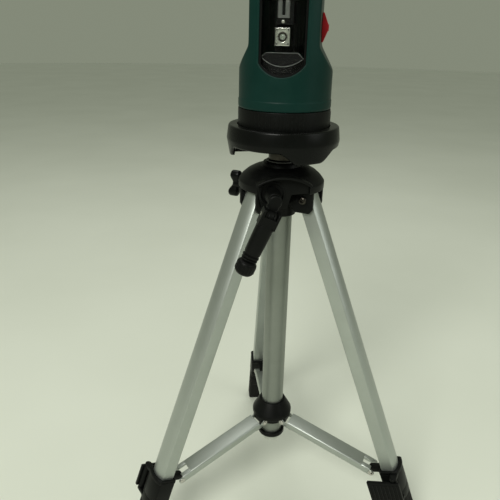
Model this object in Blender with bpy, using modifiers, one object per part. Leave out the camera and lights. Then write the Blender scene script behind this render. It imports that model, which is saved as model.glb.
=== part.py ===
"""Laser level on a small folding tripod with a geared column.

Metres, +Z up. The origin is the point of the floor under the column's axis, the crank faces -Y, and
the three legs stand at 90, 210 and 330 degrees about +Z. The part is modelled as it stands in use:
legs spread against their stops and collapsed, column at the bottom, crank grip folded down.
"""

import math

import bmesh
import bpy
from mathutils import Matrix, Vector

MM = 0.001
GAP = 0.3 * MM
SLIDE_GAP = 0.5 * MM

# Legs
LEG_ANGLE = math.radians(21.4)
LEG_AZIMUTHS = {"front_left": 210.0, "front_right": 330.0, "rear": 90.0}
HINGE_RADIUS = 29.5 * MM
HINGE_HEIGHT = 390.0 * MM
LEG_WIDTH = 22.2 * MM
LEG_SIDE = 13.3 * MM
LEG_CROWN = 3.2 * MM
LEG_WALL = 1.3 * MM
LEG_TOP = 5.0 * MM
RIM_TO_FLOOR = 102.28 * MM
TUBE_IN_HOUSING = 27.0 * MM
HOUSING_HEIGHT = 37.0 * MM
HOUSING_WALL = 2.5 * MM
HOUSING_INNER_WALL = 2.2 * MM
KNUCKLE_PLUG = 32.0 * MM
KNUCKLE_SINK = 1.0 * MM
PIVOT_SCREW_RADIUS = 2.1 * MM
PIVOT_HEAD_RADIUS = 4.2 * MM
SCREW_ACCESS = 1.2 * MM
INNER_LEG_LENGTH = 270.0 * MM
INNER_LEG_WALL = 1.2 * MM
FOOT_GRIP = 30.0 * MM
LUG_REACH = 21.0 * MM
LUG_BELOW_RIM = 5.6 * MM
LUG_RADIUS = 4.2 * MM
LUG_WIDTH = 6.0 * MM

# Flip levers
LEVER_HEIGHT = 26.0 * MM
LEVER_DROP = 5.0 * MM
LEVER_HINGE_OUT = 8.0 * MM
LEVER_STANDOFF = 6.5 * MM
LEVER_KNUCKLE = 4.2 * MM
LEVER_INNER_REACH = 22.0 * MM
LEVER_OUTER_REACH = 14.0 * MM
LEVER_THICK = 4.6 * MM
LEVER_PIN_RADIUS = 1.7 * MM
LEVER_EAR = 3.6 * MM
LEVER_GROOVES = 5
LEVER_GROOVE = 1.4 * MM

# Braces and their sliding hub
HUB_PIVOT_RADIUS = 17.2 * MM
BRACE_SLOPE = math.radians(14.62)
BRACE_WIDTH = 19.6 * MM
BRACE_WALL = 1.3 * MM
BRACE_EAR = 3.6 * MM
BRACE_WEB_RISE = 4.4 * MM
BRACE_WEB_START = 6.8 * MM
BRACE_SLOT = 24.0 * MM
BRACE_WEB_TRIM = 2.0 * MM
LUG_CLEARANCE = 0.7 * MM
RIVET_RADIUS = 1.6 * MM
RIVET_HEAD = 2.9 * MM
RIVET_HEAD_HEIGHT = 1.2 * MM
HUB_CONE_RADIUS = 23.0 * MM
HUB_BAND = 5.0 * MM
HUB_RIM_WALL = 2.0 * MM
HUB_CONE_HEIGHT = 19.0 * MM
HUB_ABOVE_PIVOT = 5.6 * MM
HUB_BELOW_PIVOT = 3.6 * MM

# Column, guide tube and rack
GUIDE_RADIUS = 12.5 * MM
GUIDE_WALL = 1.2 * MM
GUIDE_BELOW_HUB = 22.1 * MM
END_RING_RADIUS = 15.6 * MM
END_RING_HEIGHT = 6.0 * MM
COLUMN_RADIUS = 9.5 * MM
COLUMN_BELOW_GUIDE = 11.0 * MM
COLUMN_BORE = 5.2 * MM
GEAR_MODULE = 1.2 * MM
PINION_TEETH = 8
GEAR_ADDENDUM = 0.8 * MM
GEAR_DEDENDUM = 1.15 * MM
TOOTH_SHARE = 0.38
PINION_WIDTH = 6.4 * MM
RACK_PITCH_LINE = 8.0 * MM
RACK_BACK = 2.0 * MM
RACK_WIDTH = 6.4 * MM
RACK_BELOW_CRANK = 190.0 * MM
RACK_ABOVE_CRANK = 19.0 * MM
HEAD_PLUG_RADIUS = 13.5 * MM
HEAD_PLUG_HEIGHT = 7.4 * MM
HEAD_PLUG_ROOF = 2.6 * MM
STUD_RADIUS = 3.1 * MM
STUD_FLANGE = 8.6 * MM
STUD_LENGTH = 11.0 * MM

# Shoulder
CROWN_RADIUS = 43.0 * MM
SKIRT_ABOVE_HINGE = 8.0 * MM
SKIRT_HEIGHT = 7.0 * MM
DOME_HEIGHT = 14.5 * MM
DOME_TOP_RADIUS = 22.0 * MM
DOME_BULGE = 2.5 * MM
BOSS_RADIUS = 18.5 * MM
BOSS_HEIGHT = 3.5 * MM
COLLAR_RADIUS = 16.0 * MM
COLLAR_BELOW_HINGE = 21.0 * MM
GUIDE_SEAT = 15.0 * MM
CHEEK_THICK = 3.8 * MM
CHEEK_BELOW_HINGE = 13.0 * MM
CHEEK_DEPTH = 21.0 * MM
HOOD_RADIUS = 24.2 * MM
HOOD_LIP = 2.4 * MM
HOOD_SHIFT = 9.0 * MM
HOOD_CENTRE_DROP = 18.5 * MM
HOOD_DEPTH = 4.5 * MM
BUSH_WALL = 2.2 * MM
BUSH_DEPTH = 12.0 * MM
BUSH_FLANGE = 15.5 * MM
BUSH_FLANGE_HEIGHT = 1.6 * MM

# Crank
CRANK_ABOVE_HINGE = 9.0 * MM
CRANK_REST = math.radians(23.5)
CRANK_BOSS_RADIUS = 7.5 * MM
SHAFT_RADIUS = 2.2 * MM
SHAFT_REAR = 12.0 * MM
HUB_DISC_RADIUS = 8.0 * MM
HUB_DISC_FRONT = 56.5 * MM
ARM_WIDTH = 11.0 * MM
ARM_EYE_RADIUS = 6.325 * MM
ARM_EYE_WRAP = 30.0
ARM_THICK = 6.5 * MM
ARM_LENGTH = 13.0 * MM
GRIP_CENTRE = 67.0 * MM
GRIP_RADIUS = 8.3 * MM
GRIP_LENGTH = 40.0 * MM
GRIP_NECK = 5.2 * MM
GRIP_KNOB_RADIUS = 9.6 * MM
GRIP_KNOB_LENGTH = 14.5 * MM
GRIP_RING = 3.4 * MM
FORK_GAP = 5.4 * MM
FORK_PIN_RADIUS = 1.6 * MM
FORK_NOSE = 5.7 * MM

# Column lock
LOCK_AZIMUTH = 150.0
LOCK_ABOVE_HINGE = 3.0 * MM
LOCK_SCREW_RADIUS = 1.6 * MM
WING_STANDOFF = 2.0 * MM
WING_HALF_SPAN = 14.0 * MM
WING_LOBE = 5.2 * MM
WING_LOBE_TURN = 20.0
WING_WAIST = 3.4 * MM
WING_HUB = 5.0 * MM
WING_THICK = 13.0 * MM
LOCK_BOSS_RADIUS = 6.0 * MM

# Three-footed base dish
DISH_FOOT_DROP = 2.9 * MM
DISH_ARCH_HEIGHT = 10.5 * MM
DISH_WAIST_HEIGHT = 16.0 * MM
DISH_RIM_HEIGHT = 13.3 * MM
DISH_RIM_RADIUS = 53.6 * MM
DISH_WAIST_RADIUS = 55.0 * MM
DISH_FOOT_RADIUS = 52.0 * MM
DISH_WALL = 4.2 * MM
DISH_FLOOR = 6.0 * MM
DISH_BOSS_RADIUS = 17.0 * MM
DISH_YAW = 22.3
ARCH_HALF_TOP = 25.5 * MM
ARCH_HALF_BOTTOM = 32.0 * MM

# Turntable and laser head
HEAD_YAW = math.radians(-13.0)
DRUM_RADIUS = 44.2 * MM
DRUM_TOP_RADIUS = 43.6 * MM
TURNTABLE_ABOVE_RIM = 15.9 * MM
TURNTABLE_WALL = 3.0 * MM
TURNTABLE_FLOOR = 3.0 * MM
TURNTABLE_SINK = 6.3 * MM
SPINDLE_RADIUS = 4.6 * MM
SPINDLE_HEAD = 9.0 * MM
SPINDLE_HEAD_HEIGHT = 2.6 * MM
SHELL_WALL = 2.4 * MM
SHELL_EDGE = 2.6 * MM
SHELL_HEIGHT = 122.5 * MM
PILLAR_HALF = 31.0 * MM
DRUM_HEIGHT = 34.8 * MM
SHOULDER_RISE = 19.7 * MM
CAP_HEIGHT = 6.0 * MM
WINDOW_HALF = 21.0 * MM
WINDOW_ABOVE_SEAM = 29.1 * MM
WINDOW_LOWER_BOW = 11.4 * MM
WINDOW_BELOW_TOP = 8.0 * MM
WINDOW_UPPER_BOW = 8.0 * MM
WINDOW_WALL = 2.0 * MM
WINDOW_BACK = 31.0 * MM
WINDOW_SINK = 0.8 * MM
SHELF_RISE = 19.9 * MM
PANE_THICK = 1.4 * MM
PANE_SINK = 1.6 * MM

# Pendulum and electronics
GIMBAL_BELOW_TOP = 15.0 * MM
GIMBAL_HALF = 5.0 * MM
YOKE_PLATE = 3.0 * MM
YOKE_EAR = 2.6 * MM
TRUNNION_RADIUS = 1.7 * MM
PENDULUM_ARM = 2.4 * MM
PENDULUM_HALF = 7.5 * MM
PENDULUM_FRONT = 28.0 * MM
PENDULUM_NECK_DROP = 17.0 * MM
PENDULUM_WAIST_DROP = 18.0 * MM
PENDULUM_WEIGHT = 23.0 * MM
MODULE_HALF = 6.4 * MM
MODULE_HEIGHT = 14.6 * MM
MODULE_DEPTH = 12.0 * MM
MODULE_RISE = 5.5 * MM
MODULE_FRONT = 30.5 * MM
LENS_RADIUS = 4.2 * MM
BOARD_HALF = 19.0 * MM
BOARD_THICK = 1.6 * MM
BOARD_AT = 14.0 * MM
CELL_RADIUS = 7.0 * MM
CELL_LENGTH = 44.0 * MM
CELL_PITCH = 15.2 * MM
CELL_AT = 26.5 * MM
COVER_HALF = 24.0 * MM
COVER_ABOVE_SEAM = 7.5 * MM
COVER_HEIGHT = 26.0 * MM

# Side switch
SWITCH_ABOVE_SHOULDER = 16.0 * MM
SWITCH_HALF_HEIGHT = 12.5 * MM
SWITCH_PEAK = 5.8 * MM
SWITCH_HALF_WIDTH = 6.0 * MM
SWITCH_AT = 4.0 * MM
SWITCH_TRAVEL = 6.0 * MM
SWITCH_STEM_HALF = 2.2 * MM
SWITCH_STEM_HALF_HEIGHT = 5.0 * MM

# Values worked out from the sizes above
RIM_Z = RIM_TO_FLOOR - HINGE_HEIGHT / math.cos(LEG_ANGLE)
LUG_DROP = LUG_BELOW_RIM - RIM_Z
SKIRT_BOTTOM = HINGE_HEIGHT + SKIRT_ABOVE_HINGE
SKIRT_TOP = SKIRT_BOTTOM + SKIRT_HEIGHT
DOME_TOP = SKIRT_TOP + DOME_HEIGHT
BOSS_TOP = DOME_TOP + BOSS_HEIGHT
COLLAR_BOTTOM = HINGE_HEIGHT - COLLAR_BELOW_HINGE
CHEEK_BOTTOM = HINGE_HEIGHT - CHEEK_BELOW_HINGE
CRANK_HEIGHT = HINGE_HEIGHT + CRANK_ABOVE_HINGE
LOCK_HEIGHT = HINGE_HEIGHT + LOCK_ABOVE_HINGE
HOUSING_BOTTOM = RIM_Z - HOUSING_HEIGHT
TUBE_BOTTOM = RIM_Z - TUBE_IN_HOUSING
PINION_RADIUS = GEAR_MODULE * PINION_TEETH / 2
TOOTH_PITCH = math.pi * GEAR_MODULE
CRANK_X = -(RACK_PITCH_LINE + PINION_RADIUS)
GUIDE_TOP = COLLAR_BOTTOM + GUIDE_SEAT
HOOD_X = CRANK_X + HOOD_SHIFT
HOOD_Z = SKIRT_TOP - HOOD_CENTRE_DROP
BUSH_TOP = BOSS_TOP + GAP + BUSH_FLANGE_HEIGHT
HEAD_PLUG_BOTTOM = BUSH_TOP + GAP
HEAD_PLUG_TOP = HEAD_PLUG_BOTTOM + HEAD_PLUG_HEIGHT
DISH_BOSS_BOTTOM = HEAD_PLUG_TOP + GAP
DISH_BOTTOM = DISH_BOSS_BOTTOM - DISH_FOOT_DROP
DISH_ARCH = DISH_BOTTOM + DISH_ARCH_HEIGHT
DISH_WAIST = DISH_BOTTOM + DISH_WAIST_HEIGHT
DISH_RIM = DISH_WAIST + DISH_RIM_HEIGHT
DISH_FLOOR_TOP = DISH_WAIST + DISH_FLOOR
TURNTABLE_BOTTOM = DISH_RIM - TURNTABLE_SINK
TURNTABLE_TOP = DISH_RIM + TURNTABLE_ABOVE_RIM
SHELL_BOTTOM = TURNTABLE_TOP + GAP
SHELL_TOP = SHELL_BOTTOM + SHELL_HEIGHT
SHOULDER_LOW = SHELL_BOTTOM + DRUM_HEIGHT
SHOULDER_HIGH = SHOULDER_LOW + SHOULDER_RISE
WINDOW_BOTTOM = SHELL_BOTTOM + WINDOW_ABOVE_SEAM
WINDOW_SPRING = WINDOW_BOTTOM + WINDOW_LOWER_BOW
WINDOW_TOP = SHELL_TOP - WINDOW_BELOW_TOP
WINDOW_TOP_SPRING = WINDOW_TOP - WINDOW_UPPER_BOW
SHELF_TOP = WINDOW_BOTTOM + SHELF_RISE
GIMBAL_HEIGHT = SHELL_TOP - GIMBAL_BELOW_TOP
PENDULUM_NECK = GIMBAL_HEIGHT - PENDULUM_NECK_DROP
PENDULUM_WAIST = PENDULUM_NECK - PENDULUM_WAIST_DROP
PENDULUM_BOTTOM = PENDULUM_WAIST - PENDULUM_WEIGHT
MODULE_BOTTOM = PENDULUM_BOTTOM + MODULE_RISE
COVER_BOTTOM = SHELL_BOTTOM + COVER_ABOVE_SEAM
COVER_TOP = COVER_BOTTOM + COVER_HEIGHT
SWITCH_CENTRE = SHOULDER_HIGH + SWITCH_ABOVE_SHOULDER
DISH_BORE = SPINDLE_RADIUS + SLIDE_GAP
EAR_INNER = BRACE_WIDTH / 2 - BRACE_WALL
TONGUE_HALF = EAR_INNER - GAP
HOUSING_HALF = LEG_WIDTH / 2 + GAP + HOUSING_WALL
LEVER_HINGE_SIDE = HOUSING_HALF + LEVER_STANDOFF


def leg_point(x, z):
    """Radius and height of a point of a leg, from its place across and along that leg."""
    radius = HINGE_RADIUS + x * math.cos(LEG_ANGLE) - z * math.sin(LEG_ANGLE)
    height = HINGE_HEIGHT + x * math.sin(LEG_ANGLE) + z * math.cos(LEG_ANGLE)
    return radius, height


LUG_RADIUS_AT, LUG_HEIGHT = leg_point(-LUG_REACH, -LUG_DROP)
BRACE_SPAN = LUG_RADIUS_AT - HUB_PIVOT_RADIUS
BRACE_LENGTH = BRACE_SPAN / math.cos(BRACE_SLOPE)
HUB_HEIGHT = LUG_HEIGHT + BRACE_LENGTH * math.sin(BRACE_SLOPE)
GUIDE_BOTTOM = HUB_HEIGHT - GUIDE_BELOW_HUB
COLUMN_BOTTOM = GUIDE_BOTTOM - COLUMN_BELOW_GUIDE

for old in list(bpy.data.objects):
    bpy.data.objects.remove(old)
PARTS = bpy.data.collections.new("laser_level_on_tripod")
CUTTERS = bpy.data.collections.new("cutters")
bpy.context.scene.collection.children.link(PARTS)
bpy.context.scene.collection.children.link(CUTTERS)


def material(name, colour, roughness, metallic=0.0, alpha=1.0):
    mat = bpy.data.materials.new(name)
    mat.use_nodes = True
    shader = mat.node_tree.nodes["Principled BSDF"]
    shader.inputs["Base Color"].default_value = (*colour, 1.0)
    shader.inputs["Roughness"].default_value = roughness
    shader.inputs["Metallic"].default_value = metallic
    shader.inputs["Alpha"].default_value = alpha
    return mat


GREEN = material("bottle_green_plastic", (0.010, 0.075, 0.060), 0.45)
BLACK = material("black_plastic", (0.012, 0.013, 0.012), 0.5)
RUBBER = material("black_rubber", (0.015, 0.015, 0.015), 0.85)
ALUMINIUM = material("anodised_aluminium", (0.62, 0.64, 0.60), 0.38, 0.85)
STEEL = material("bright_steel", (0.60, 0.58, 0.55), 0.25, 1.0)
RED = material("red_plastic", (0.60, 0.03, 0.04), 0.4)
GLASS = material("clear_pane", (0.9, 0.95, 0.93), 0.03, 0.0, 0.2)
GREY = material("grey_zinc", (0.34, 0.35, 0.35), 0.45, 0.4)
BOARD = material("circuit_board", (0.02, 0.16, 0.06), 0.5)
CELL = material("cell_jacket", (0.16, 0.17, 0.18), 0.4)


def frame(name, location=(0, 0, 0), turn=(0, 0, 0), parent=None):
    """An empty that carries pieces in their own coordinates."""
    empty = bpy.data.objects.new(name, None)
    empty.empty_display_size = 0.02
    empty.location = location
    empty.rotation_euler = turn
    empty.parent = parent
    PARTS.objects.link(empty)
    return empty


def add(name, mesh, mat=None, parent=None):
    """A node where a material is given, and otherwise a cutter."""
    obj = bpy.data.objects.new(name, mesh)
    obj.parent = parent
    if mat is None:
        CUTTERS.objects.link(obj)
        obj.hide_render = True
        obj.display_type = "WIRE"
    else:
        PARTS.objects.link(obj)
        mesh.materials.clear()
        mesh.materials.append(mat)
        mesh.shade_smooth()
        mesh.set_sharp_from_angle(angle=math.radians(35))
    return obj


def finish_mesh(name, bm):
    mesh = bpy.data.meshes.new(name)
    bm.to_mesh(mesh)
    bm.free()
    return mesh


def block(name, low, high, mat=None, parent=None):
    """A box between two corners."""
    low, high = Vector(low), Vector(high)
    bm = bmesh.new()
    place = Matrix.Translation((low + high) / 2) @ Matrix.Diagonal((*(high - low), 1.0))
    bmesh.ops.create_cube(bm, size=1.0, matrix=place)
    return add(name, finish_mesh(name, bm), mat, parent)


def rod(name, start, end, radius, mat=None, parent=None, sides=24, end_radius=None):
    """A cylinder or a cone between two points."""
    start, end = Vector(start), Vector(end)
    along = end - start
    turn = along.to_track_quat("Z", "Y").to_matrix().to_4x4()
    bm = bmesh.new()
    bmesh.ops.create_cone(
        bm,
        cap_ends=True,
        segments=sides,
        radius1=radius,
        radius2=radius if end_radius is None else end_radius,
        depth=along.length,
        matrix=Matrix.Translation((start + end) / 2) @ turn,
    )
    return add(name, finish_mesh(name, bm), mat, parent)


def turned(name, profile, mat=None, parent=None, steps=48, ring=False):
    """A profile of (radius, height) points, run down the outer side, turned about Z."""
    mesh = bpy.data.meshes.new(name)
    points = [(radius, 0.0, height) for radius, height in profile]
    edges = [(i, i + 1) for i in range(len(points) - 1)]
    if ring:
        edges.append((len(points) - 1, 0))
    mesh.from_pydata(points, edges, [])
    guide = add(name + "_profile", mesh)
    screw = guide.modifiers.new("turn", "SCREW")
    screw.steps = steps
    screw.render_steps = steps
    screw.use_merge_vertices = True
    screw.merge_threshold = 0.00001
    return add(name, solid_mesh(name, guide), mat, parent)


def solid_mesh(name, guide):
    """The evaluated shape of a helper as a plain welded mesh; the helper is removed."""
    bpy.context.view_layer.update()
    graph = bpy.context.evaluated_depsgraph_get()
    mesh = bpy.data.meshes.new_from_object(guide.evaluated_get(graph))
    mesh.name = name
    bpy.data.objects.remove(guide)
    bm = bmesh.new()
    bm.from_mesh(mesh)
    bmesh.ops.remove_doubles(bm, verts=bm.verts, dist=0.000002)
    bmesh.ops.recalc_face_normals(bm, faces=bm.faces)
    bm.to_mesh(mesh)
    bm.free()
    return mesh


# How an outline's own axes lie: its first axis, its second axis and the way it is extruded.
FLAT = Matrix.Identity(4)
FACING_Y = Matrix(((1, 0, 0, 0), (0, 0, -1, 0), (0, 1, 0, 0), (0, 0, 0, 1)))
FACING_X = Matrix(((0, 0, 1, 0), (1, 0, 0, 0), (0, 1, 0, 0), (0, 0, 0, 1)))


def plate(name, loops, low, high, mat=None, parent=None, lie=FLAT):
    """A flat outline, with any holes as further loops, extruded from low to high."""
    curve = bpy.data.curves.new(name, "CURVE")
    curve.dimensions = "2D"
    curve.fill_mode = "BOTH"
    curve.extrude = abs(high - low) / 2
    for loop in loops:
        spline = curve.splines.new("POLY")
        spline.points.add(len(loop) - 1)
        for point, (u, v) in zip(spline.points, loop):
            point.co = (u, v, 0.0, 1.0)
        spline.use_cyclic_u = True
    guide = bpy.data.objects.new(name + "_outline", curve)
    CUTTERS.objects.link(guide)
    mesh = solid_mesh(name, guide)
    mesh.transform(lie @ Matrix.Translation((0, 0, (low + high) / 2)))
    return add(name, mesh, mat, parent)


def combine(obj, other, operation):
    change = obj.modifiers.new(operation.lower(), "BOOLEAN")
    change.operation = operation
    change.solver = "EXACT"
    change.object = other
    return obj


def cut(obj, *others):
    for other in others:
        combine(obj, other, "DIFFERENCE")
    return obj


def join(obj, *others):
    for other in others:
        combine(obj, other, "UNION")
    return obj


def keep(obj, other):
    return combine(obj, other, "INTERSECT")


def arc(centre, radius, start, end, count):
    """Points of a circular arc; angles in degrees."""
    turns = [math.radians(start + (end - start) * i / count) for i in range(count + 1)]
    return [(centre[0] + radius * math.cos(t), centre[1] + radius * math.sin(t)) for t in turns]


def bow(half, height, rise, count):
    """Points from (-half, height) to (half, height) along an arc that is rise away in the middle."""
    radius = (half * half + rise * rise) / (2 * abs(rise))
    spread = math.degrees(math.asin(half / radius))
    side = math.copysign(1.0, rise)
    centre = (0.0, height + rise - side * radius)
    return arc(centre, radius, side * (90 + spread), side * (90 - spread), count)


def leg_outline(grow):
    """The leg's section, flat inside and crowned outside, grown by a wall or shrunk by a gap."""
    half = LEG_WIDTH / 2 + grow
    side = LEG_SIDE / 2 + grow
    crowned = [(x, y) for y, x in bow(half, side, LEG_CROWN, 8)]
    return [(-side, -half), *crowned, (-side, half)]


def leg_yaw(name):
    return math.radians(LEG_AZIMUTHS[name])


def make_leg(name):
    yaw = leg_yaw(name)
    hinge = (HINGE_RADIUS * math.cos(yaw), HINGE_RADIUS * math.sin(yaw), HINGE_HEIGHT)
    leg = frame(f"leg_frame_{name}", hinge, (0, -LEG_ANGLE, yaw))
    tube = plate(
        f"leg_tube_{name}", [leg_outline(0), leg_outline(-LEG_WALL)], TUBE_BOTTOM, LEG_TOP, ALUMINIUM, leg
    )
    cut(tube, pivot_hole("tube", name, leg))
    make_knuckle(name, leg)
    make_housing(name, leg)
    make_lever(name, leg)
    make_inner_leg(name, leg)
    make_foot(name, leg)
    return leg


def pivot_hole(label, name, leg):
    reach = LEG_WIDTH
    return rod(f"{label}_eye_{name}", (0, -reach, 0), (0, reach, 0), PIVOT_SCREW_RADIUS + GAP, None, leg, 16)


def make_knuckle(name, leg):
    """The plastic plug in the tube's top that turns on the shoulder's pivot screw."""
    top = LEG_TOP - KNUCKLE_SINK
    outline = leg_outline(-LEG_WALL - GAP)
    knuckle = plate(f"leg_knuckle_{name}", [outline], top - KNUCKLE_PLUG, top, BLACK, leg)
    cut(knuckle, pivot_hole("knuckle", name, leg))


def make_housing(name, leg):
    """The lock housing at the tube's end, with the brace lug and the lever's two ears."""
    wall = GAP + HOUSING_WALL
    inner_wall = LEG_SIDE / 2 + GAP + HOUSING_INNER_WALL
    body = plate(f"lock_housing_{name}", [leg_outline(wall)], HOUSING_BOTTOM, RIM_Z, BLACK, leg)
    trim = block(
        f"inner_trim_{name}",
        (-4 * inner_wall, -2 * HOUSING_HALF, 2 * HOUSING_BOTTOM),
        (-inner_wall, 2 * HOUSING_HALF, 0),
        None,
        leg,
    )
    lug = plate(
        f"lug_{name}",
        [[(0.0, -LUG_RADIUS), (0.0, LUG_RADIUS), *arc((-LUG_REACH, 0), LUG_RADIUS, 90, 270, 8)]],
        -LUG_WIDTH / 2,
        LUG_WIDTH / 2,
        None,
        leg,
        Matrix.Translation((0, 0, -LUG_DROP)) @ FACING_Y,
    )
    cut(body, trim)
    join(body, lug)
    top = RIM_Z - LEVER_DROP
    for ear, level in (("upper", top), ("lower", top - LEVER_HEIGHT - LEVER_EAR)):
        outline = [
            (LEVER_HINGE_OUT - LEVER_KNUCKLE, -LEG_WIDTH / 2),
            *arc((LEVER_HINGE_OUT, -LEVER_HINGE_SIDE), LEVER_KNUCKLE - SLIDE_GAP, 180, 360, 8),
            (LEVER_HINGE_OUT + LEVER_KNUCKLE - SLIDE_GAP, -LEG_WIDTH / 2),
        ]
        join(body, plate(f"{ear}_ear_{name}", [outline], level, level + LEVER_EAR, None, leg))
    cut(
        body,
        plate(f"tube_seat_{name}", [leg_outline(GAP)], TUBE_BOTTOM - GAP, 0, None, leg),
        plate(
            f"inner_seat_{name}",
            [leg_outline(-LEG_WALL)],
            2 * HOUSING_BOTTOM,
            TUBE_BOTTOM + LEG_WALL,
            None,
            leg,
        ),
        rod(
            f"lever_bore_{name}",
            (LEVER_HINGE_OUT, -LEVER_HINGE_SIDE, 2 * HOUSING_BOTTOM),
            (LEVER_HINGE_OUT, -LEVER_HINGE_SIDE, 0),
            LEVER_PIN_RADIUS + GAP,
            None,
            leg,
            12,
        ),
    )


def make_lever(name, leg):
    """A ribbed flip lever on the housing's side; its moulded pins turn in the housing's ears."""
    top = RIM_Z - LEVER_DROP - GAP
    bottom = RIM_Z - LEVER_DROP - LEVER_HEIGHT + GAP
    hinge = frame(f"lever_frame_{name}", (LEVER_HINGE_OUT, -LEVER_HINGE_SIDE, 0), (0, 0, 0), leg)
    inner = -(LEVER_INNER_REACH + LEVER_HINGE_OUT)
    outer = LEVER_OUTER_REACH - LEVER_HINGE_OUT
    back = -LEVER_KNUCKLE / 4
    face = back - LEVER_THICK
    lever = rod(
        f"lock_lever_{name}",
        (0, 0, bottom),
        (0, 0, top),
        LEVER_KNUCKLE - SLIDE_GAP,
        BLACK,
        hinge,
        16,
    )
    panel = plate(
        f"lever_panel_{name}",
        [[(inner, face), (outer, face), (outer, back - GAP), (0.0, back), (inner, back)]],
        bottom,
        top,
        None,
        hinge,
    )
    reach = LEVER_EAR * 0.8
    pin = rod(
        f"lever_pin_{name}",
        (0, 0, bottom - reach),
        (0, 0, top + reach),
        LEVER_PIN_RADIUS,
        None,
        hinge,
        12,
    )
    join(lever, panel, pin)
    pitch = (outer - inner) / (LEVER_GROOVES + 1)
    for i in range(LEVER_GROOVES):
        middle = inner + pitch * (i + 1)
        cut(
            lever,
            block(
                f"lever_groove_{name}_{i}",
                (middle - LEVER_GROOVE / 2, 2 * face, bottom - LEVER_HEIGHT),
                (middle + LEVER_GROOVE / 2, face + LEVER_GROOVE * 0.6, top - LEVER_GROOVE),
                None,
                hinge,
            ),
        )


def make_inner_leg(name, leg):
    """The lower leg section that slides in the tube; at rest it is fully in."""
    outer = -LEG_WALL - SLIDE_GAP
    bottom = HOUSING_BOTTOM - SLIDE_GAP - FOOT_GRIP
    plate(
        f"leg_inner_{name}",
        [leg_outline(outer), leg_outline(outer - INNER_LEG_WALL)],
        bottom,
        bottom + INNER_LEG_LENGTH,
        ALUMINIUM,
        leg,
    )


def make_foot(name, leg):
    """The rubber boot on the inner section, cut level with the floor."""
    top = HOUSING_BOTTOM - SLIDE_GAP
    length = HINGE_HEIGHT / math.cos(LEG_ANGLE) + LEG_WIDTH
    foot = plate(f"foot_{name}", [leg_outline(HOUSING_WALL)], -length, top, RUBBER, leg)
    socket = plate(
        f"foot_socket_{name}",
        [leg_outline(-LEG_WALL - SLIDE_GAP + GAP)],
        top - FOOT_GRIP - GAP,
        top + FOOT_GRIP,
        None,
        leg,
    )
    yaw = leg_yaw(name)
    level = frame(f"floor_frame_{name}", (0, 0, 0), (0, 0, yaw))
    far = leg_point(0, -length)[0]
    floor = block(f"floor_{name}", (0, -far, -far), (2 * far, far, 0), None, level)
    cut(foot, socket, floor)


def make_brace(name):
    """An aluminium channel; its web stops short of the leg so that the ears fold past the lug."""
    yaw = leg_yaw(name)
    pivot = (HUB_PIVOT_RADIUS * math.cos(yaw), HUB_PIVOT_RADIUS * math.sin(yaw), HUB_HEIGHT)
    hold = frame(f"brace_frame_{name}", pivot, (0, BRACE_SLOPE, yaw))
    half = BRACE_WIDTH / 2
    web_end = BRACE_LENGTH - BRACE_WEB_TRIM
    slot = LUG_WIDTH / 2 + LUG_CLEARANCE
    side = [
        *arc((0, 0), BRACE_EAR, 90, 270, 8),
        *arc((BRACE_LENGTH, 0), BRACE_EAR, -90, 75, 8),
        (web_end, BRACE_WEB_RISE),
        (BRACE_WEB_START, BRACE_WEB_RISE),
    ]
    brace = plate(f"brace_{name}", [side], -half, half, ALUMINIUM, hold, FACING_Y)
    far = 2 * BRACE_LENGTH
    under = BRACE_WEB_RISE - BRACE_WALL
    cut(
        brace,
        block(f"channel_{name}", (-far, -EAR_INNER, -far), (far, EAR_INNER, under), None, hold),
        block(f"hub_mouth_{name}", (-far, -EAR_INNER, -far), (BRACE_WEB_START, EAR_INNER, far), None, hold),
        block(f"leg_mouth_{name}", (web_end, -EAR_INNER, -far), (far, EAR_INNER, far), None, hold),
        block(f"lug_slot_{name}", (BRACE_LENGTH - BRACE_SLOT, -slot, -far), (far, slot, far), None, hold),
        rod(f"hub_eye_{name}", (0, -far, 0), (0, far, 0), RIVET_RADIUS + GAP, None, hold, 12),
    )
    for side, sign in (("left", 1), ("right", -1)):
        inner, outer = sign * (EAR_INNER + GAP), sign * (half + RIVET_HEAD_HEIGHT)
        at = BRACE_LENGTH
        join(
            brace,
            rod(
                f"rivet_{side}_{name}",
                (at, inner, 0),
                (at, outer, 0),
                RIVET_HEAD,
                None,
                hold,
                16,
                RIVET_HEAD * 0.7,
            ),
        )


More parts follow.
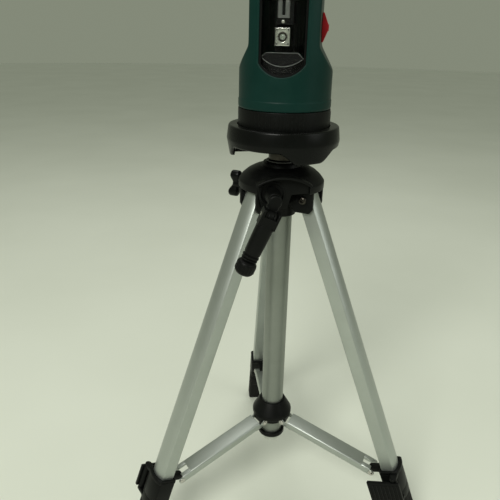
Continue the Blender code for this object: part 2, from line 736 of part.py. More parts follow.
def make_hub():
    """The sliding hub on the guide tube, with a tongue for each brace."""
    hub = frame("hub_frame", (0, 0, HUB_HEIGHT))
    bore = GUIDE_RADIUS + SLIDE_GAP
    cone_top = HUB_ABOVE_PIVOT + HUB_CONE_HEIGHT
    sleeve = bore + HUB_RIM_WALL
    profile = [
        (sleeve, cone_top),
        (HUB_CONE_RADIUS, HUB_ABOVE_PIVOT + HUB_BAND),
        (HUB_CONE_RADIUS, HUB_ABOVE_PIVOT),
        (sleeve, HUB_ABOVE_PIVOT),
        (sleeve, -HUB_BELOW_PIVOT),
        (bore, -HUB_BELOW_PIVOT),
        (bore, cone_top),
    ]
    body = turned("brace_hub", profile, BLACK, hub, 36, True)
    for name in LEG_AZIMUTHS:
        yaw = leg_yaw(name)
        seat = frame(f"tongue_frame_{name}", (0, 0, 0), (0, 0, yaw), hub)
        inside = (bore + sleeve) / 2
        nose = HUB_PIVOT_RADIUS + BRACE_EAR
        outline = [
            (inside, -HUB_BELOW_PIVOT + GAP),
            (HUB_PIVOT_RADIUS, -BRACE_EAR - GAP),
            (nose, -BRACE_EAR / 2),
            (nose, HUB_ABOVE_PIVOT + HUB_RIM_WALL / 2),
            (inside, HUB_ABOVE_PIVOT + HUB_RIM_WALL / 2),
        ]
        tongue = plate(f"tongue_{name}", [outline], -TONGUE_HALF, TONGUE_HALF, None, seat, FACING_Y)
        far = BRACE_WIDTH
        at = HUB_PIVOT_RADIUS
        hole = rod(f"tongue_hole_{name}", (at, -far, 0), (at, far, 0), RIVET_RADIUS + GAP, None, seat, 12)
        cut(join(body, tongue), hole)
        end = BRACE_WIDTH / 2 + GAP
        top = end + RIVET_HEAD_HEIGHT
        half = [(0.0, top), (RIVET_HEAD * 0.6, top), (RIVET_HEAD, end), (RIVET_RADIUS, end)]
        profile = half + [(radius, -height) for radius, height in reversed(half)]
        pin = turned(f"hub_rivet_{name}", profile, STEEL, seat, 12)
        pin.data.transform(Matrix.Translation((at, 0, 0)) @ Matrix.Rotation(math.radians(-90), 4, "X"))
    trim = turned(
        "hub_bore_trim",
        [(0.0, cone_top * 3), (bore, cone_top * 3), (bore, -cone_top * 3), (0.0, -cone_top * 3)],
        None, hub, 36,
    )
    cut(body, trim)


def make_guide():
    inner = GUIDE_RADIUS - GUIDE_WALL
    profile = [
        (GUIDE_RADIUS, GUIDE_TOP),
        (GUIDE_RADIUS, GUIDE_BOTTOM),
        (inner, GUIDE_BOTTOM),
        (inner, GUIDE_TOP),
    ]
    turned("guide_tube", profile, ALUMINIUM, None, 36, True)
    seat = GUIDE_RADIUS + GAP
    bottom = GUIDE_BOTTOM - GAP - 2 * MM
    top = bottom + END_RING_HEIGHT
    ring = [
        (END_RING_RADIUS, top),
        (END_RING_RADIUS, bottom + MM),
        (END_RING_RADIUS - MM, bottom),
        (inner, bottom),
        (inner, GUIDE_BOTTOM - GAP),
        (seat, GUIDE_BOTTOM - GAP),
        (seat, top),
    ]
    turned("tube_end_ring", ring, BLACK, None, 36, True)


def rack_outline():
    """The rack seen from its side, teeth towards -X, with a gap between teeth at the crank's height."""
    tip = -(RACK_PITCH_LINE + GEAR_ADDENDUM)
    root = -(RACK_PITCH_LINE - GEAR_DEDENDUM)
    low, high = CRANK_HEIGHT - RACK_BELOW_CRANK, CRANK_HEIGHT + RACK_ABOVE_CRANK
    wide, narrow = TOOTH_PITCH * (TOOTH_SHARE / 2 + 0.09), TOOTH_PITCH * (TOOTH_SHARE / 2 - 0.06)
    points = [(root + RACK_BACK, low), (root, low)]
    count = int(RACK_BELOW_CRANK / TOOTH_PITCH) - 1
    above = int(RACK_ABOVE_CRANK / TOOTH_PITCH) - 1
    for i in range(-count, above):
        middle = CRANK_HEIGHT + (i + 0.5) * TOOTH_PITCH
        points += [
            (root, middle - wide),
            (tip, middle - narrow),
            (tip, middle + narrow),
            (root, middle + wide),
        ]
    return points + [(root, high), (root + RACK_BACK, high)]


def make_column():
    """The geared column, its rack, its head plug with the stud."""
    column = frame("column_frame")
    top = HEAD_PLUG_TOP - HEAD_PLUG_ROOF - GAP
    tube = rod("column_tube", (0, 0, COLUMN_BOTTOM), (0, 0, top), COLUMN_RADIUS, ALUMINIUM, column, 36)
    floor = -(RACK_PITCH_LINE - GEAR_DEDENDUM) + RACK_BACK + GAP
    half = RACK_WIDTH / 2 + GAP
    far = 2 * COLUMN_RADIUS
    groove = block("rack_groove", (-far, -half, 0), (floor, half, HEAD_PLUG_BOTTOM), None, column)
    shift = COLUMN_RADIUS - COLUMN_BORE - 1.6 * MM
    bore = rod("column_bore", (shift, 0, 0), (shift, 0, 2 * top), COLUMN_BORE, None, column, 24)
    cut(tube, groove, bore)
    plate("gear_rack", [rack_outline()], -RACK_WIDTH / 2, RACK_WIDTH / 2, STEEL, column, FACING_Y)
    socket = COLUMN_RADIUS + GAP
    roof = HEAD_PLUG_TOP - HEAD_PLUG_ROOF
    plug = [
        (0.0, HEAD_PLUG_TOP),
        (HEAD_PLUG_RADIUS, HEAD_PLUG_TOP),
        (HEAD_PLUG_RADIUS, HEAD_PLUG_BOTTOM),
        (socket, HEAD_PLUG_BOTTOM),
        (socket, roof),
        (0.0, roof),
    ]
    turned("column_head", plug, STEEL, column, 36)
    base = DISH_BOSS_BOTTOM
    stud = [
        (0.0, base + STUD_LENGTH),
        (STUD_RADIUS, base + STUD_LENGTH),
        (STUD_RADIUS, base + HEAD_PLUG_ROOF),
        (STUD_FLANGE, base + HEAD_PLUG_ROOF),
        (STUD_FLANGE, base),
        (0.0, base),
    ]
    turned("mounting_stud", stud, STEEL, column, 24)
    make_dish(column)


def make_dish(column):
    """The laser's three-footed base: rim, recess for the turntable, arches between the feet."""
    recess = DRUM_RADIUS + 2 * SLIDE_GAP
    stud_seat = STUD_FLANGE + GAP
    stud_roof = DISH_BOSS_BOTTOM + HEAD_PLUG_ROOF + GAP
    profile = [
        (recess, DISH_RIM),
        (DISH_RIM_RADIUS - MM, DISH_RIM),
        (DISH_RIM_RADIUS, DISH_RIM - MM),
        (DISH_WAIST_RADIUS, DISH_WAIST),
        (DISH_FOOT_RADIUS, DISH_BOTTOM),
        (DISH_FOOT_RADIUS - DISH_WALL, DISH_BOTTOM),
        (DISH_WAIST_RADIUS - DISH_WALL, DISH_WAIST),
        (DISH_BOSS_RADIUS, DISH_WAIST),
        (DISH_BOSS_RADIUS - MM, DISH_BOSS_BOTTOM),
        (stud_seat, DISH_BOSS_BOTTOM),
        (stud_seat, stud_roof),
        (DISH_BORE, stud_roof),
        (DISH_BORE, DISH_FLOOR_TOP),
        (recess, DISH_FLOOR_TOP),
    ]
    dish = turned("base_dish", profile, BLACK, column, 48, True)
    for i in range(3):
        foot = math.radians(DISH_YAW - 90 + 120 * i)
        between = frame(f"arch_frame_{i}", (0, 0, 0), (0, 0, foot + math.radians(60)), column)
        outline = [
            (-ARCH_HALF_BOTTOM, DISH_BOTTOM - DISH_WALL),
            (ARCH_HALF_BOTTOM, DISH_BOTTOM - DISH_WALL),
            (ARCH_HALF_TOP, DISH_ARCH),
            (-ARCH_HALF_TOP, DISH_ARCH),
        ]
        near, far = DISH_BOSS_RADIUS + 4 * MM, 2 * DISH_WAIST_RADIUS
        cut(dish, plate(f"arch_{i}", [outline], near, far, None, between, FACING_X))


def make_shoulder():
    """The crown that carries legs, crank and guide tube."""
    run, rise = CROWN_RADIUS - DOME_TOP_RADIUS, DOME_TOP - SKIRT_TOP
    long = math.hypot(run, rise)
    dome = []
    for share in (0.25, 0.5, 0.75):
        bulge = DOME_BULGE * 4 * share * (1 - share)
        radius = DOME_TOP_RADIUS + run * share + bulge * rise / long
        dome.append((radius, DOME_TOP - rise * share + bulge * run / long))
    crown = [
        (0.0, DOME_TOP),
        (DOME_TOP_RADIUS, DOME_TOP),
        *dome,
        (CROWN_RADIUS, SKIRT_TOP),
        (CROWN_RADIUS, SKIRT_BOTTOM),
        (0.0, SKIRT_BOTTOM),
    ]
    body = turned("shoulder", crown, BLACK, None, 36)
    boss_foot = BOSS_RADIUS + 2.5 * MM
    lock = math.radians(LOCK_AZIMUTH)
    out = Vector((math.cos(lock), math.sin(lock), 0))
    lift = Vector((0, 0, LOCK_HEIGHT))
    arch = arc((HOOD_X, HOOD_Z), HOOD_RADIUS + HOOD_LIP, 22, 158, 24)
    join(
        body,
        plate("hood_arch", [arch], DOME_TOP_RADIUS, CROWN_RADIUS - MM, None, None, FACING_Y),
        rod("shoulder_boss", (0, 0, SKIRT_TOP), (0, 0, BOSS_TOP), boss_foot, None, None, 40, BOSS_RADIUS),
        rod(
            "collar",
            (0, 0, COLLAR_BOTTOM),
            (0, 0, SKIRT_TOP),
            COLLAR_RADIUS,
            None,
            None,
            40,
            COLLAR_RADIUS + 2 * MM,
        ),
        rod(
            "lock_boss",
            lift + out * GUIDE_RADIUS,
            lift + out * (CROWN_RADIUS + MM),
            LOCK_BOSS_RADIUS,
            None,
            None,
            20,
        ),
        rod(
            "crank_boss",
            (CRANK_X, -GUIDE_RADIUS, CRANK_HEIGHT),
            (CRANK_X, HOOD_DEPTH + MM - CROWN_RADIUS, CRANK_HEIGHT),
            CRANK_BOSS_RADIUS,
            None,
            None,
            28,
        ),
    )
    slot = LEG_WIDTH / 2 + SLIDE_GAP
    cheek = slot + CHEEK_THICK
    for name in LEG_AZIMUTHS:
        yaw = leg_yaw(name)
        seat = frame(f"socket_frame_{name}", (0, 0, 0), (0, 0, yaw))
        far = HINGE_RADIUS + CHEEK_DEPTH / 2
        near = far - CHEEK_DEPTH
        for side, low, high in (("left", slot - MM, cheek), ("right", -cheek, MM - slot)):
            outline = [
                (near, SKIRT_TOP),
                (near, CHEEK_BOTTOM + 4 * MM),
                (near + 5 * MM, CHEEK_BOTTOM),
                (far - 3 * MM, CHEEK_BOTTOM),
                (far, CHEEK_BOTTOM + 5 * MM),
                (far, SKIRT_TOP),
            ]
            join(body, plate(f"cheek_{side}_{name}", [outline], low, high, None, seat, FACING_Y))
    for name in LEG_AZIMUTHS:
        seat = bpy.data.objects[f"socket_frame_{name}"]
        pocket = math.hypot(LEG_SIDE / 2 + LEG_CROWN, LEG_TOP) + 2 * SLIDE_GAP
        inside = HINGE_RADIUS - pocket
        roof = rod(
            f"knuckle_pocket_{name}",
            (HINGE_RADIUS, -slot, HINGE_HEIGHT),
            (HINGE_RADIUS, slot, HINGE_HEIGHT),
            pocket,
            None,
            seat,
            24,
        )
        room = block(
            f"leg_room_{name}",
            (inside, -slot, COLLAR_BOTTOM - BOSS_TOP),
            (3 * HINGE_RADIUS, slot, HINGE_HEIGHT + LEG_TOP / 2),
            None,
            seat,
        )
        shaft = rod(
            f"screw_hole_{name}",
            (HINGE_RADIUS, -3 * cheek, HINGE_HEIGHT),
            (HINGE_RADIUS, 3 * cheek, HINGE_HEIGHT),
            PIVOT_SCREW_RADIUS + GAP,
            None,
            seat,
            16,
        )
        access = rod(
            f"screw_access_{name}",
            (HINGE_RADIUS, -3 * cheek, HINGE_HEIGHT),
            (HINGE_RADIUS, GAP - cheek, HINGE_HEIGHT),
            PIVOT_HEAD_RADIUS + SCREW_ACCESS,
            None,
            seat,
            24,
        )
        cut(body, roof, room, shaft, access)
        pivot_screw(name, seat, cheek)
    cut_shoulder_bores(body)


def pivot_screw(name, seat, cheek):
    """A domed screw across one socket, its head towards the lever's side of the leg."""
    rise = PIVOT_HEAD_RADIUS * 0.57
    start = cheek + GAP
    dome = [
        (PIVOT_HEAD_RADIUS * math.sin(a), start + rise * math.cos(a))
        for a in (0.0, 0.5, 1.0, math.pi / 2)
    ]
    end = -cheek - rise
    profile = [*dome, (PIVOT_SCREW_RADIUS, start), (PIVOT_SCREW_RADIUS, end), (0.0, end)]
    screw = turned(f"leg_pivot_screw_{name}", profile, STEEL, seat, 16)
    screw.data.transform(Matrix.Rotation(math.radians(90), 4, "X"))
    screw.data.transform(Matrix.Translation((HINGE_RADIUS, 0, HINGE_HEIGHT)))


def cut_shoulder_bores(body):
    far = 2 * CROWN_RADIUS
    top = 2 * BOSS_TOP
    bush = COLUMN_RADIUS + SLIDE_GAP + BUSH_WALL + GAP
    front = CROWN_RADIUS - HOOD_DEPTH
    pinion_room = PINION_RADIUS + GEAR_ADDENDUM + 2 * SLIDE_GAP
    half = PINION_WIDTH / 2 + 2 * SLIDE_GAP
    rear = SHAFT_REAR + SLIDE_GAP
    lock = math.radians(LOCK_AZIMUTH)
    out = Vector((math.cos(lock), math.sin(lock), 0))
    lift = Vector((0, 0, LOCK_HEIGHT))
    cut(
        body,
        rod("column_hole", (0, 0, 0), (0, 0, top), COLUMN_RADIUS + SLIDE_GAP, None, None, 36),
        rod("guide_seat", (0, 0, 0), (0, 0, GUIDE_TOP + GAP), GUIDE_RADIUS + GAP, None, None, 36),
        rod("bush_seat", (0, 0, BOSS_TOP - BUSH_DEPTH - GAP), (0, 0, top), bush, None, None, 36),
        rod("hood", (HOOD_X, -far, HOOD_Z), (HOOD_X, -front, HOOD_Z), HOOD_RADIUS, None, None, 40),
        rod(
            "pinion_room",
            (CRANK_X, -half, CRANK_HEIGHT),
            (CRANK_X, half, CRANK_HEIGHT),
            pinion_room,
            None,
            None,
            24,
        ),
        rod(
            "shaft_hole",
            (CRANK_X, -far, CRANK_HEIGHT),
            (CRANK_X, rear, CRANK_HEIGHT),
            SHAFT_RADIUS + GAP,
            None,
            None,
            16,
        ),
        rod("lock_hole", lift, lift + out * far, LOCK_SCREW_RADIUS + GAP, None, None, 12),
    )
    inner = COLUMN_RADIUS + SLIDE_GAP
    outer = bush - GAP
    profile = [
        (BUSH_FLANGE, BUSH_TOP),
        (BUSH_FLANGE, BOSS_TOP + GAP),
        (outer, BOSS_TOP + GAP),
        (outer, BOSS_TOP - BUSH_DEPTH),
        (inner, BOSS_TOP - BUSH_DEPTH),
        (inner, BUSH_TOP),
    ]
    turned("column_bush", profile, GREY, None, 36, True)


def pinion_outline():
    """Eight straight-sided teeth, the first pointing at the rack."""
    tip, root = PINION_RADIUS + GEAR_ADDENDUM, PINION_RADIUS - GEAR_DEDENDUM
    step = 2 * math.pi / PINION_TEETH
    points = []
    for i in range(PINION_TEETH):
        for radius, share in ((root, -0.27), (tip, -0.09), (tip, 0.09), (root, 0.27)):
            turn = (i + share) * step
            points.append((radius * math.cos(turn), radius * math.sin(turn)))
    return points


def make_crank():
    """Shaft, pinion, arm and the fold-out grip, built hanging straight down and then turned to rest."""
    crank = frame("crank_frame", (CRANK_X, 0, CRANK_HEIGHT), (0, CRANK_REST, 0))
    front = HUB_DISC_FRONT + ARM_THICK
    rod("crank_shaft", (0, SHAFT_REAR, 0), (0, -front + ARM_THICK * 0.4, 0), SHAFT_RADIUS, STEEL, crank, 16)
    pinion = plate(
        "crank_pinion",
        [pinion_outline()],
        -PINION_WIDTH / 2,
        PINION_WIDTH / 2,
        STEEL,
        crank,
        FACING_Y,
    )
    pinion.data.transform(Matrix.Rotation(-CRANK_REST, 4, "Y"))
    hole = rod("pinion_hole", (0, -front, 0), (0, front, 0), SHAFT_RADIUS + GAP / 2, None, crank, 16)
    cut(pinion, hole)
    half = ARM_WIDTH / 2
    arm_end = -ARM_LENGTH - half
    outline = [
        *arc((0, 0), ARM_EYE_RADIUS, -ARM_EYE_WRAP, 180 + ARM_EYE_WRAP, 10),
        (-half, -ARM_LENGTH + half),
        (-half, arm_end),
        (half, arm_end),
        (half, -ARM_LENGTH + half),
    ]
    arm = plate("crank_arm", [outline], HUB_DISC_FRONT - GAP, GRIP_CENTRE + half, BLACK, crank, FACING_Y)
    behind = 2 * GRIP_CENTRE
    shave = block(
        "arm_shave",
        (-behind, -behind, -ARM_LENGTH + half + MM),
        (behind, -front, behind),
        None,
        crank,
    )
    disc_back = CROWN_RADIUS - HOOD_DEPTH + SLIDE_GAP
    disc = rod(
        "crank_disc",
        (0, -disc_back, 0),
        (0, -HUB_DISC_FRONT - MM, 0),
        HUB_DISC_RADIUS,
        None,
        crank,
        32,
        HUB_DISC_RADIUS - 2 * MM,
    )
    tongue_half = FORK_GAP / 2
    swing = half + SLIDE_GAP
    fork = block(
        "arm_fork",
        (-tongue_half - GAP, -behind, -behind),
        (tongue_half + GAP, 0, -ARM_LENGTH + swing),
        None,
        crank,
    )
    bore = rod(
        "arm_bore",
        (0, -front + ARM_THICK * 0.4 - GAP, 0),
        (0, 0, 0),
        SHAFT_RADIUS + GAP / 2,
        None,
        crank,
        16,
    )
    pin_at = (0, -GRIP_CENTRE, -ARM_LENGTH)
    pin_hole = rod(
        "fork_hole", (-behind, *pin_at[1:]), (behind, *pin_at[1:]), FORK_PIN_RADIUS + GAP, None, crank, 12
    )
    corner = block("fork_corner", (-behind, -behind, -behind), (behind, *pin_at[1:]), None, crank)
    nose = rod("fork_nose", (-behind * 2, *pin_at[1:]), (behind * 2, *pin_at[1:]), FORK_NOSE, None, crank, 32)
    cut(join(cut(arm, shave), disc), fork, bore, pin_hole, cut(corner, nose))
    rod(
        "crank_hinge_pin",
        (-half + MM, *pin_at[1:]),
        (half - MM, *pin_at[1:]),
        FORK_PIN_RADIUS,
        STEEL,
        crank,
        12,
    )
    make_grip(crank, pin_at, half, tongue_half)


def make_grip(crank, pin_at, half, tongue_half):
    grip = frame("grip_frame", pin_at, (0, 0, 0), crank)
    start = -half - SLIDE_GAP - GAP
    end = start - GRIP_LENGTH
    knob_top = end - GAP
    profile = [
        (0.0, start),
        (GRIP_RADIUS - MM, start),
        (GRIP_RADIUS, start - 2 * MM),
        (GRIP_RADIUS * 0.93, end + GRIP_RING),
        (GRIP_NECK, end + GRIP_RING),
        (GRIP_NECK, end),
        (0.0, end),
    ]
    handle = turned("crank_grip", profile, BLACK, grip, 24)
    eye = half - GAP
    outline = [(-eye, start - 2 * MM), (eye, start - 2 * MM), *arc((0, 0), eye, 0, 180, 10)]
    tongue = plate("grip_tongue", [outline], -tongue_half, tongue_half, None, grip, FACING_X)
    hole = rod("grip_hole", (-half, 0, 0), (half, 0, 0), FORK_PIN_RADIUS + GAP, None, grip, 12)
    cut(join(handle, tongue), hole)
    knob = [
        (0.0, knob_top),
        (GRIP_KNOB_RADIUS - 2 * MM, knob_top),
        (GRIP_KNOB_RADIUS, knob_top - 2.5 * MM),
        (GRIP_KNOB_RADIUS * 0.97, knob_top - GRIP_KNOB_LENGTH + 3 * MM),
        (GRIP_KNOB_RADIUS * 0.8, knob_top - GRIP_KNOB_LENGTH),
        (0.0, knob_top - GRIP_KNOB_LENGTH),
    ]
    turned("grip_knob", knob, BLACK, grip, 24)


def make_lock():
    """The wing knob and its screw, which presses on the column beside the rack."""
    lock = frame("lock_frame", (0, 0, LOCK_HEIGHT), (0, 0, math.radians(LOCK_AZIMUTH)))
    base = CROWN_RADIUS + WING_STANDOFF
    reach = base + WING_THICK
    rod(
        "lock_screw",
        (COLUMN_RADIUS + SLIDE_GAP, 0, 0),
        (base + WING_THICK / 2, 0, 0),
        LOCK_SCREW_RADIUS,
        STEEL,
        lock,
        12,
    )
    span = WING_HALF_SPAN - WING_LOBE
    upper = arc((0, span), WING_LOBE, -WING_LOBE_TURN, 180 + WING_LOBE_TURN, 10)
    lower = arc((0, -span), WING_LOBE, 180 - WING_LOBE_TURN, 360 + WING_LOBE_TURN, 10)
    outline = [*upper, (-WING_WAIST, 0.0), *lower, (WING_WAIST, 0.0)]
    wing = plate("wing_knob", [outline], base + MM, reach, BLACK, lock, FACING_X)
    neck = rod("wing_neck", (base, 0, 0), (reach - MM, 0, 0), WING_HUB, None, lock, 20)
    hole = rod(
        "wing_hole",
        (0, 0, 0),
        (base + WING_THICK / 2 + GAP, 0, 0),
        LOCK_SCREW_RADIUS + GAP / 2,
        None,
        lock,
        12,
    )
    cut(join(wing, neck), hole)


def side_cutters(name, half, low_shift, parent):
    """Two wedges that leave the pillar's flat sides and its slanted shoulders."""
    slope = (SHOULDER_HIGH - SHOULDER_LOW) / (DRUM_TOP_RADIUS - PILLAR_HALF)
    far = 2 * DRUM_RADIUS
    high = SHOULDER_HIGH + low_shift
    outline = [(half, 2 * SHELL_TOP), (half, high), (far, high - slope * (far - half)), (far, 2 * SHELL_TOP)]
    mirrored = [(-x, z) for x, z in outline]
    return [
        plate(f"{name}_right_side", [outline], -far, far, None, parent, FACING_Y),
        plate(f"{name}_left_side", [mirrored], -far, far, None, parent, FACING_Y),
    ]


def window_outline(shrink):
    half = WINDOW_HALF - shrink
    low = bow(half, WINDOW_SPRING, WINDOW_BOTTOM + shrink - WINDOW_SPRING, 10)
    high = bow(half, WINDOW_TOP_SPRING, WINDOW_TOP - shrink - WINDOW_TOP_SPRING, 10)
    return [*low, *reversed(high)]


def shell_half(name, side, head, cavity, opening):
    """One half of the green casing: front or rear of the plane through the axis."""
    profile = [
        (0.0, SHELL_TOP),
        (DRUM_TOP_RADIUS, SHELL_TOP),
        (DRUM_TOP_RADIUS, SHOULDER_LOW),
        (DRUM_RADIUS, SHELL_BOTTOM + SHELL_EDGE),
        (DRUM_RADIUS - SHELL_EDGE * 0.25, SHELL_BOTTOM + SHELL_EDGE * 0.3),
        (DRUM_RADIUS - SHELL_EDGE * 0.8, SHELL_BOTTOM),
        (0.0, SHELL_BOTTOM),
    ]
    shell = turned(name, profile, GREEN, head, 64)
    far = 3 * DRUM_RADIUS
    near, away = sorted((-side * GAP / 2, side * far))
    split = block(f"{name}_split", (-far, near, 0), (far, away, 2 * SHELL_TOP), None, head)
    cut(shell, *side_cutters(name, PILLAR_HALF, 0.0, head), cavity, split, *opening)
    return shell


def make_head():
    head = frame("head_frame", (0, 0, 0), (0, 0, HEAD_YAW))
    make_turntable(head)
    inner = DRUM_TOP_RADIUS - SHELL_WALL
    cavity = turned(
        "head_cavity",
        [(0.0, 2 * SHELL_TOP), (inner, 2 * SHELL_TOP), (inner, 0.0), (0.0, 0.0)],
        None,
        head,
        64,
    )
    cut(cavity, *side_cutters("cavity", PILLAR_HALF - SHELL_WALL, -SHELL_WALL * 0.55, head))
    depth = 2 * DRUM_RADIUS
    window = plate("window_opening", [window_outline(0)], 0.0, depth, None, head, FACING_Y)
    shell_half("head_front_shell", 1, head, cavity, [window])
    door = block("cover_opening", (-COVER_HALF, 0, COVER_BOTTOM), (COVER_HALF, depth, COVER_TOP), None, head)
    low = SWITCH_CENTRE - SWITCH_STEM_HALF_HEIGHT - GAP
    high = SWITCH_CENTRE + SWITCH_STEM_HALF_HEIGHT + SWITCH_TRAVEL + GAP
    reach = SWITCH_STEM_HALF + GAP
    slot = block(
        "switch_slot", (0, SWITCH_AT - reach, low), (depth, SWITCH_AT + reach, high), None, head
    )
    shell_half("head_rear_shell", -1, head, cavity, [door, slot])
    make_cover(head)
    make_cap(head)
    make_window(head)
    make_pendulum(head)
    make_electronics(head)
    make_switch(head)


def make_turntable(head):
    inner = DRUM_RADIUS - TURNTABLE_WALL
    hole = SPINDLE_RADIUS + GAP
    floor = TURNTABLE_BOTTOM + TURNTABLE_FLOOR
    profile = [
        (DRUM_RADIUS, TURNTABLE_TOP),
        (DRUM_RADIUS, TURNTABLE_BOTTOM + MM),
        (DRUM_RADIUS - MM, TURNTABLE_BOTTOM),
        (hole, TURNTABLE_BOTTOM),
        (hole, floor),
        (inner, floor),
        (inner, TURNTABLE_TOP),
    ]
    turned("turntable", profile, BLACK, head, 64, True)
    top = floor + GAP + SPINDLE_HEAD_HEIGHT
    end = DISH_BOSS_BOTTOM + STUD_LENGTH + 2 * SLIDE_GAP
    spindle = [
        (0.0, top),
        (SPINDLE_HEAD, top),
        (SPINDLE_HEAD, floor + GAP),
        (SPINDLE_RADIUS, floor + GAP),
        (SPINDLE_RADIUS, end),
        (0.0, end),
    ]
    turned("swivel_spindle", spindle, STEEL, head, 32)


def make_cover(head):
    """The battery door in the back of the drum, cut from the same wall as the shell."""
    outer, inner = DRUM_TOP_RADIUS, DRUM_TOP_RADIUS - SHELL_WALL
    ring = [(outer, SHELL_TOP), (outer, SHELL_BOTTOM), (inner, SHELL_BOTTOM), (inner, SHELL_TOP)]
    cover = turned("battery_cover", ring, GREEN, head, 64, True)
    half = COVER_HALF - GAP
    door = block(
        "cover_keep", (-half, 0, COVER_BOTTOM + GAP), (half, 2 * DRUM_RADIUS, COVER_TOP - GAP), None, head
    )
    keep(cover, door)


def make_cap(head):
    base = SHELL_TOP + GAP
    profile = [
        (0.0, base + CAP_HEIGHT),
        (DRUM_TOP_RADIUS - CAP_HEIGHT, base + CAP_HEIGHT),
        (DRUM_TOP_RADIUS - CAP_HEIGHT * 0.3, base + CAP_HEIGHT * 0.7),
        (DRUM_TOP_RADIUS, base),
        (0.0, base),
    ]
    cap = turned("top_cap", profile, GREEN, head, 64)
    cut(cap, *side_cutters("cap", PILLAR_HALF, 0.0, head))


def make_window(head):
    """The black window tunnel with its sloping sill, and the curved clear pane in front of it."""
    deep = 2 * DRUM_RADIUS
    tunnel = plate("window_frame", [window_outline(GAP)], WINDOW_BACK, deep, BLACK, head, FACING_Y)
    face = turned(
        "window_face",
        [
            (0.0, SHELL_TOP),
            (DRUM_TOP_RADIUS - WINDOW_SINK, SHELL_TOP),
            (DRUM_TOP_RADIUS - WINDOW_SINK, 0.0),
            (0.0, 0.0),
        ],
        None,
        head,
        64,
    )
    inside = GAP + WINDOW_WALL
    hollow = plate("window_hollow", [window_outline(inside)], 0.0, deep, None, head, FACING_Y)
    front = DRUM_TOP_RADIUS - WINDOW_SINK - PANE_SINK - PANE_THICK - 2 * SLIDE_GAP
    slope = [(-front, 0.0), (-front, WINDOW_BOTTOM), (-WINDOW_BACK, SHELF_TOP), (0.0, SHELF_TOP), (0.0, 0.0)]
    sill = plate("window_sill", [slope], -WINDOW_HALF, WINDOW_HALF, None, head, FACING_X)
    cut(hollow, sill)
    cut(keep(tunnel, face), hollow)
    outer = DRUM_TOP_RADIUS - WINDOW_SINK - PANE_SINK
    bent = outer - PANE_THICK
    ring = [(outer, SHELL_TOP), (outer, SHELL_BOTTOM), (bent, SHELL_BOTTOM), (bent, SHELL_TOP)]
    pane = turned("window_pane", ring, GLASS, head, 64, True)
    keep(pane, plate("pane_keep", [window_outline(inside + GAP)], 0.0, deep, None, head, FACING_Y))


def make_pendulum(head):
    """The self-levelling pendulum: a yoke under the cap, a gimbal block and the swinging carrier."""
    half = GIMBAL_HALF
    ear = half + SLIDE_GAP
    roof = SHELL_TOP - SHELL_WALL
    wide = PILLAR_HALF - SHELL_WALL - GAP
    deep = 2.4 * half
    yoke = block("pendulum_yoke", (-wide, -deep, roof - YOKE_PLATE), (wide, deep, roof), GREY, head)
    below = GIMBAL_HEIGHT - 2 * TRUNNION_RADIUS
    for side, low, high in (("left", -ear - YOKE_EAR, -ear), ("right", ear, ear + YOKE_EAR)):
        join(yoke, block(f"yoke_ear_{side}", (low, -half, below), (high, half, roof - MM), None, head))
    tilt = frame("gimbal_frame", (0, 0, GIMBAL_HEIGHT), (0, 0, 0), head)
    hole = TRUNNION_RADIUS + GAP
    cut(yoke, rod("yoke_hole", (-wide, 0, 0), (wide, 0, 0), hole, None, tilt, 12))
    pin = ear + YOKE_EAR * 0.8
    gimbal = block("gimbal_block", (-half, -half, -half), (half, half, half), STEEL, tilt)
    join(
        gimbal,
        rod("gimbal_pin_x", (-pin, 0, 0), (pin, 0, 0), TRUNNION_RADIUS, None, tilt, 12),
        rod("gimbal_pin_y", (0, -pin, 0), (0, pin, 0), TRUNNION_RADIUS, None, tilt, 12),
    )
    swing = frame("pendulum_frame", (0, 0, GIMBAL_HEIGHT), (0, 0, 0), head)
    neck, waist, bottom = (
        level - GIMBAL_HEIGHT
        for level in (PENDULUM_NECK, PENDULUM_WAIST, PENDULUM_BOTTOM)
    )
    arm = ear + PENDULUM_ARM
    wall = PENDULUM_HALF
    carrier = block("pendulum", (-wall, -PENDULUM_FRONT, waist), (wall, arm, neck), GREY, swing)
    slim = half - SLIDE_GAP
    for side, low, high in (("front", -arm, -ear), ("rear", ear, arm)):
        top = 2 * TRUNNION_RADIUS
        join(carrier, block(f"pendulum_arm_{side}", (-slim, low, waist + MM), (slim, high, top), None, swing))
    module_back = MODULE_DEPTH - MODULE_FRONT
    weight = block(
        "pendulum_weight",
        (-wall - MM, module_back, bottom),
        (wall + MM, arm - MM, waist + MM),
        None,
        swing,
    )
    join(carrier, weight)
    cut(carrier, rod("pendulum_hole", (0, -deep, 0), (0, deep, 0), hole, None, swing, 12))
    low = MODULE_BOTTOM - GIMBAL_HEIGHT
    middle = low + MODULE_HEIGHT / 2
    module = block(
        "laser_module",
        (-MODULE_HALF, -MODULE_FRONT, low),
        (MODULE_HALF, module_back - GAP, low + MODULE_HEIGHT),
        STEEL,
        swing,
    )
    lens = rod(
        "lens_bore",
        (0, -2 * MODULE_FRONT, middle),
        (0, -MODULE_FRONT + 2 * MM, middle),
        LENS_RADIUS,
        None,
        swing,
        24,
    )
    cut(module, lens)


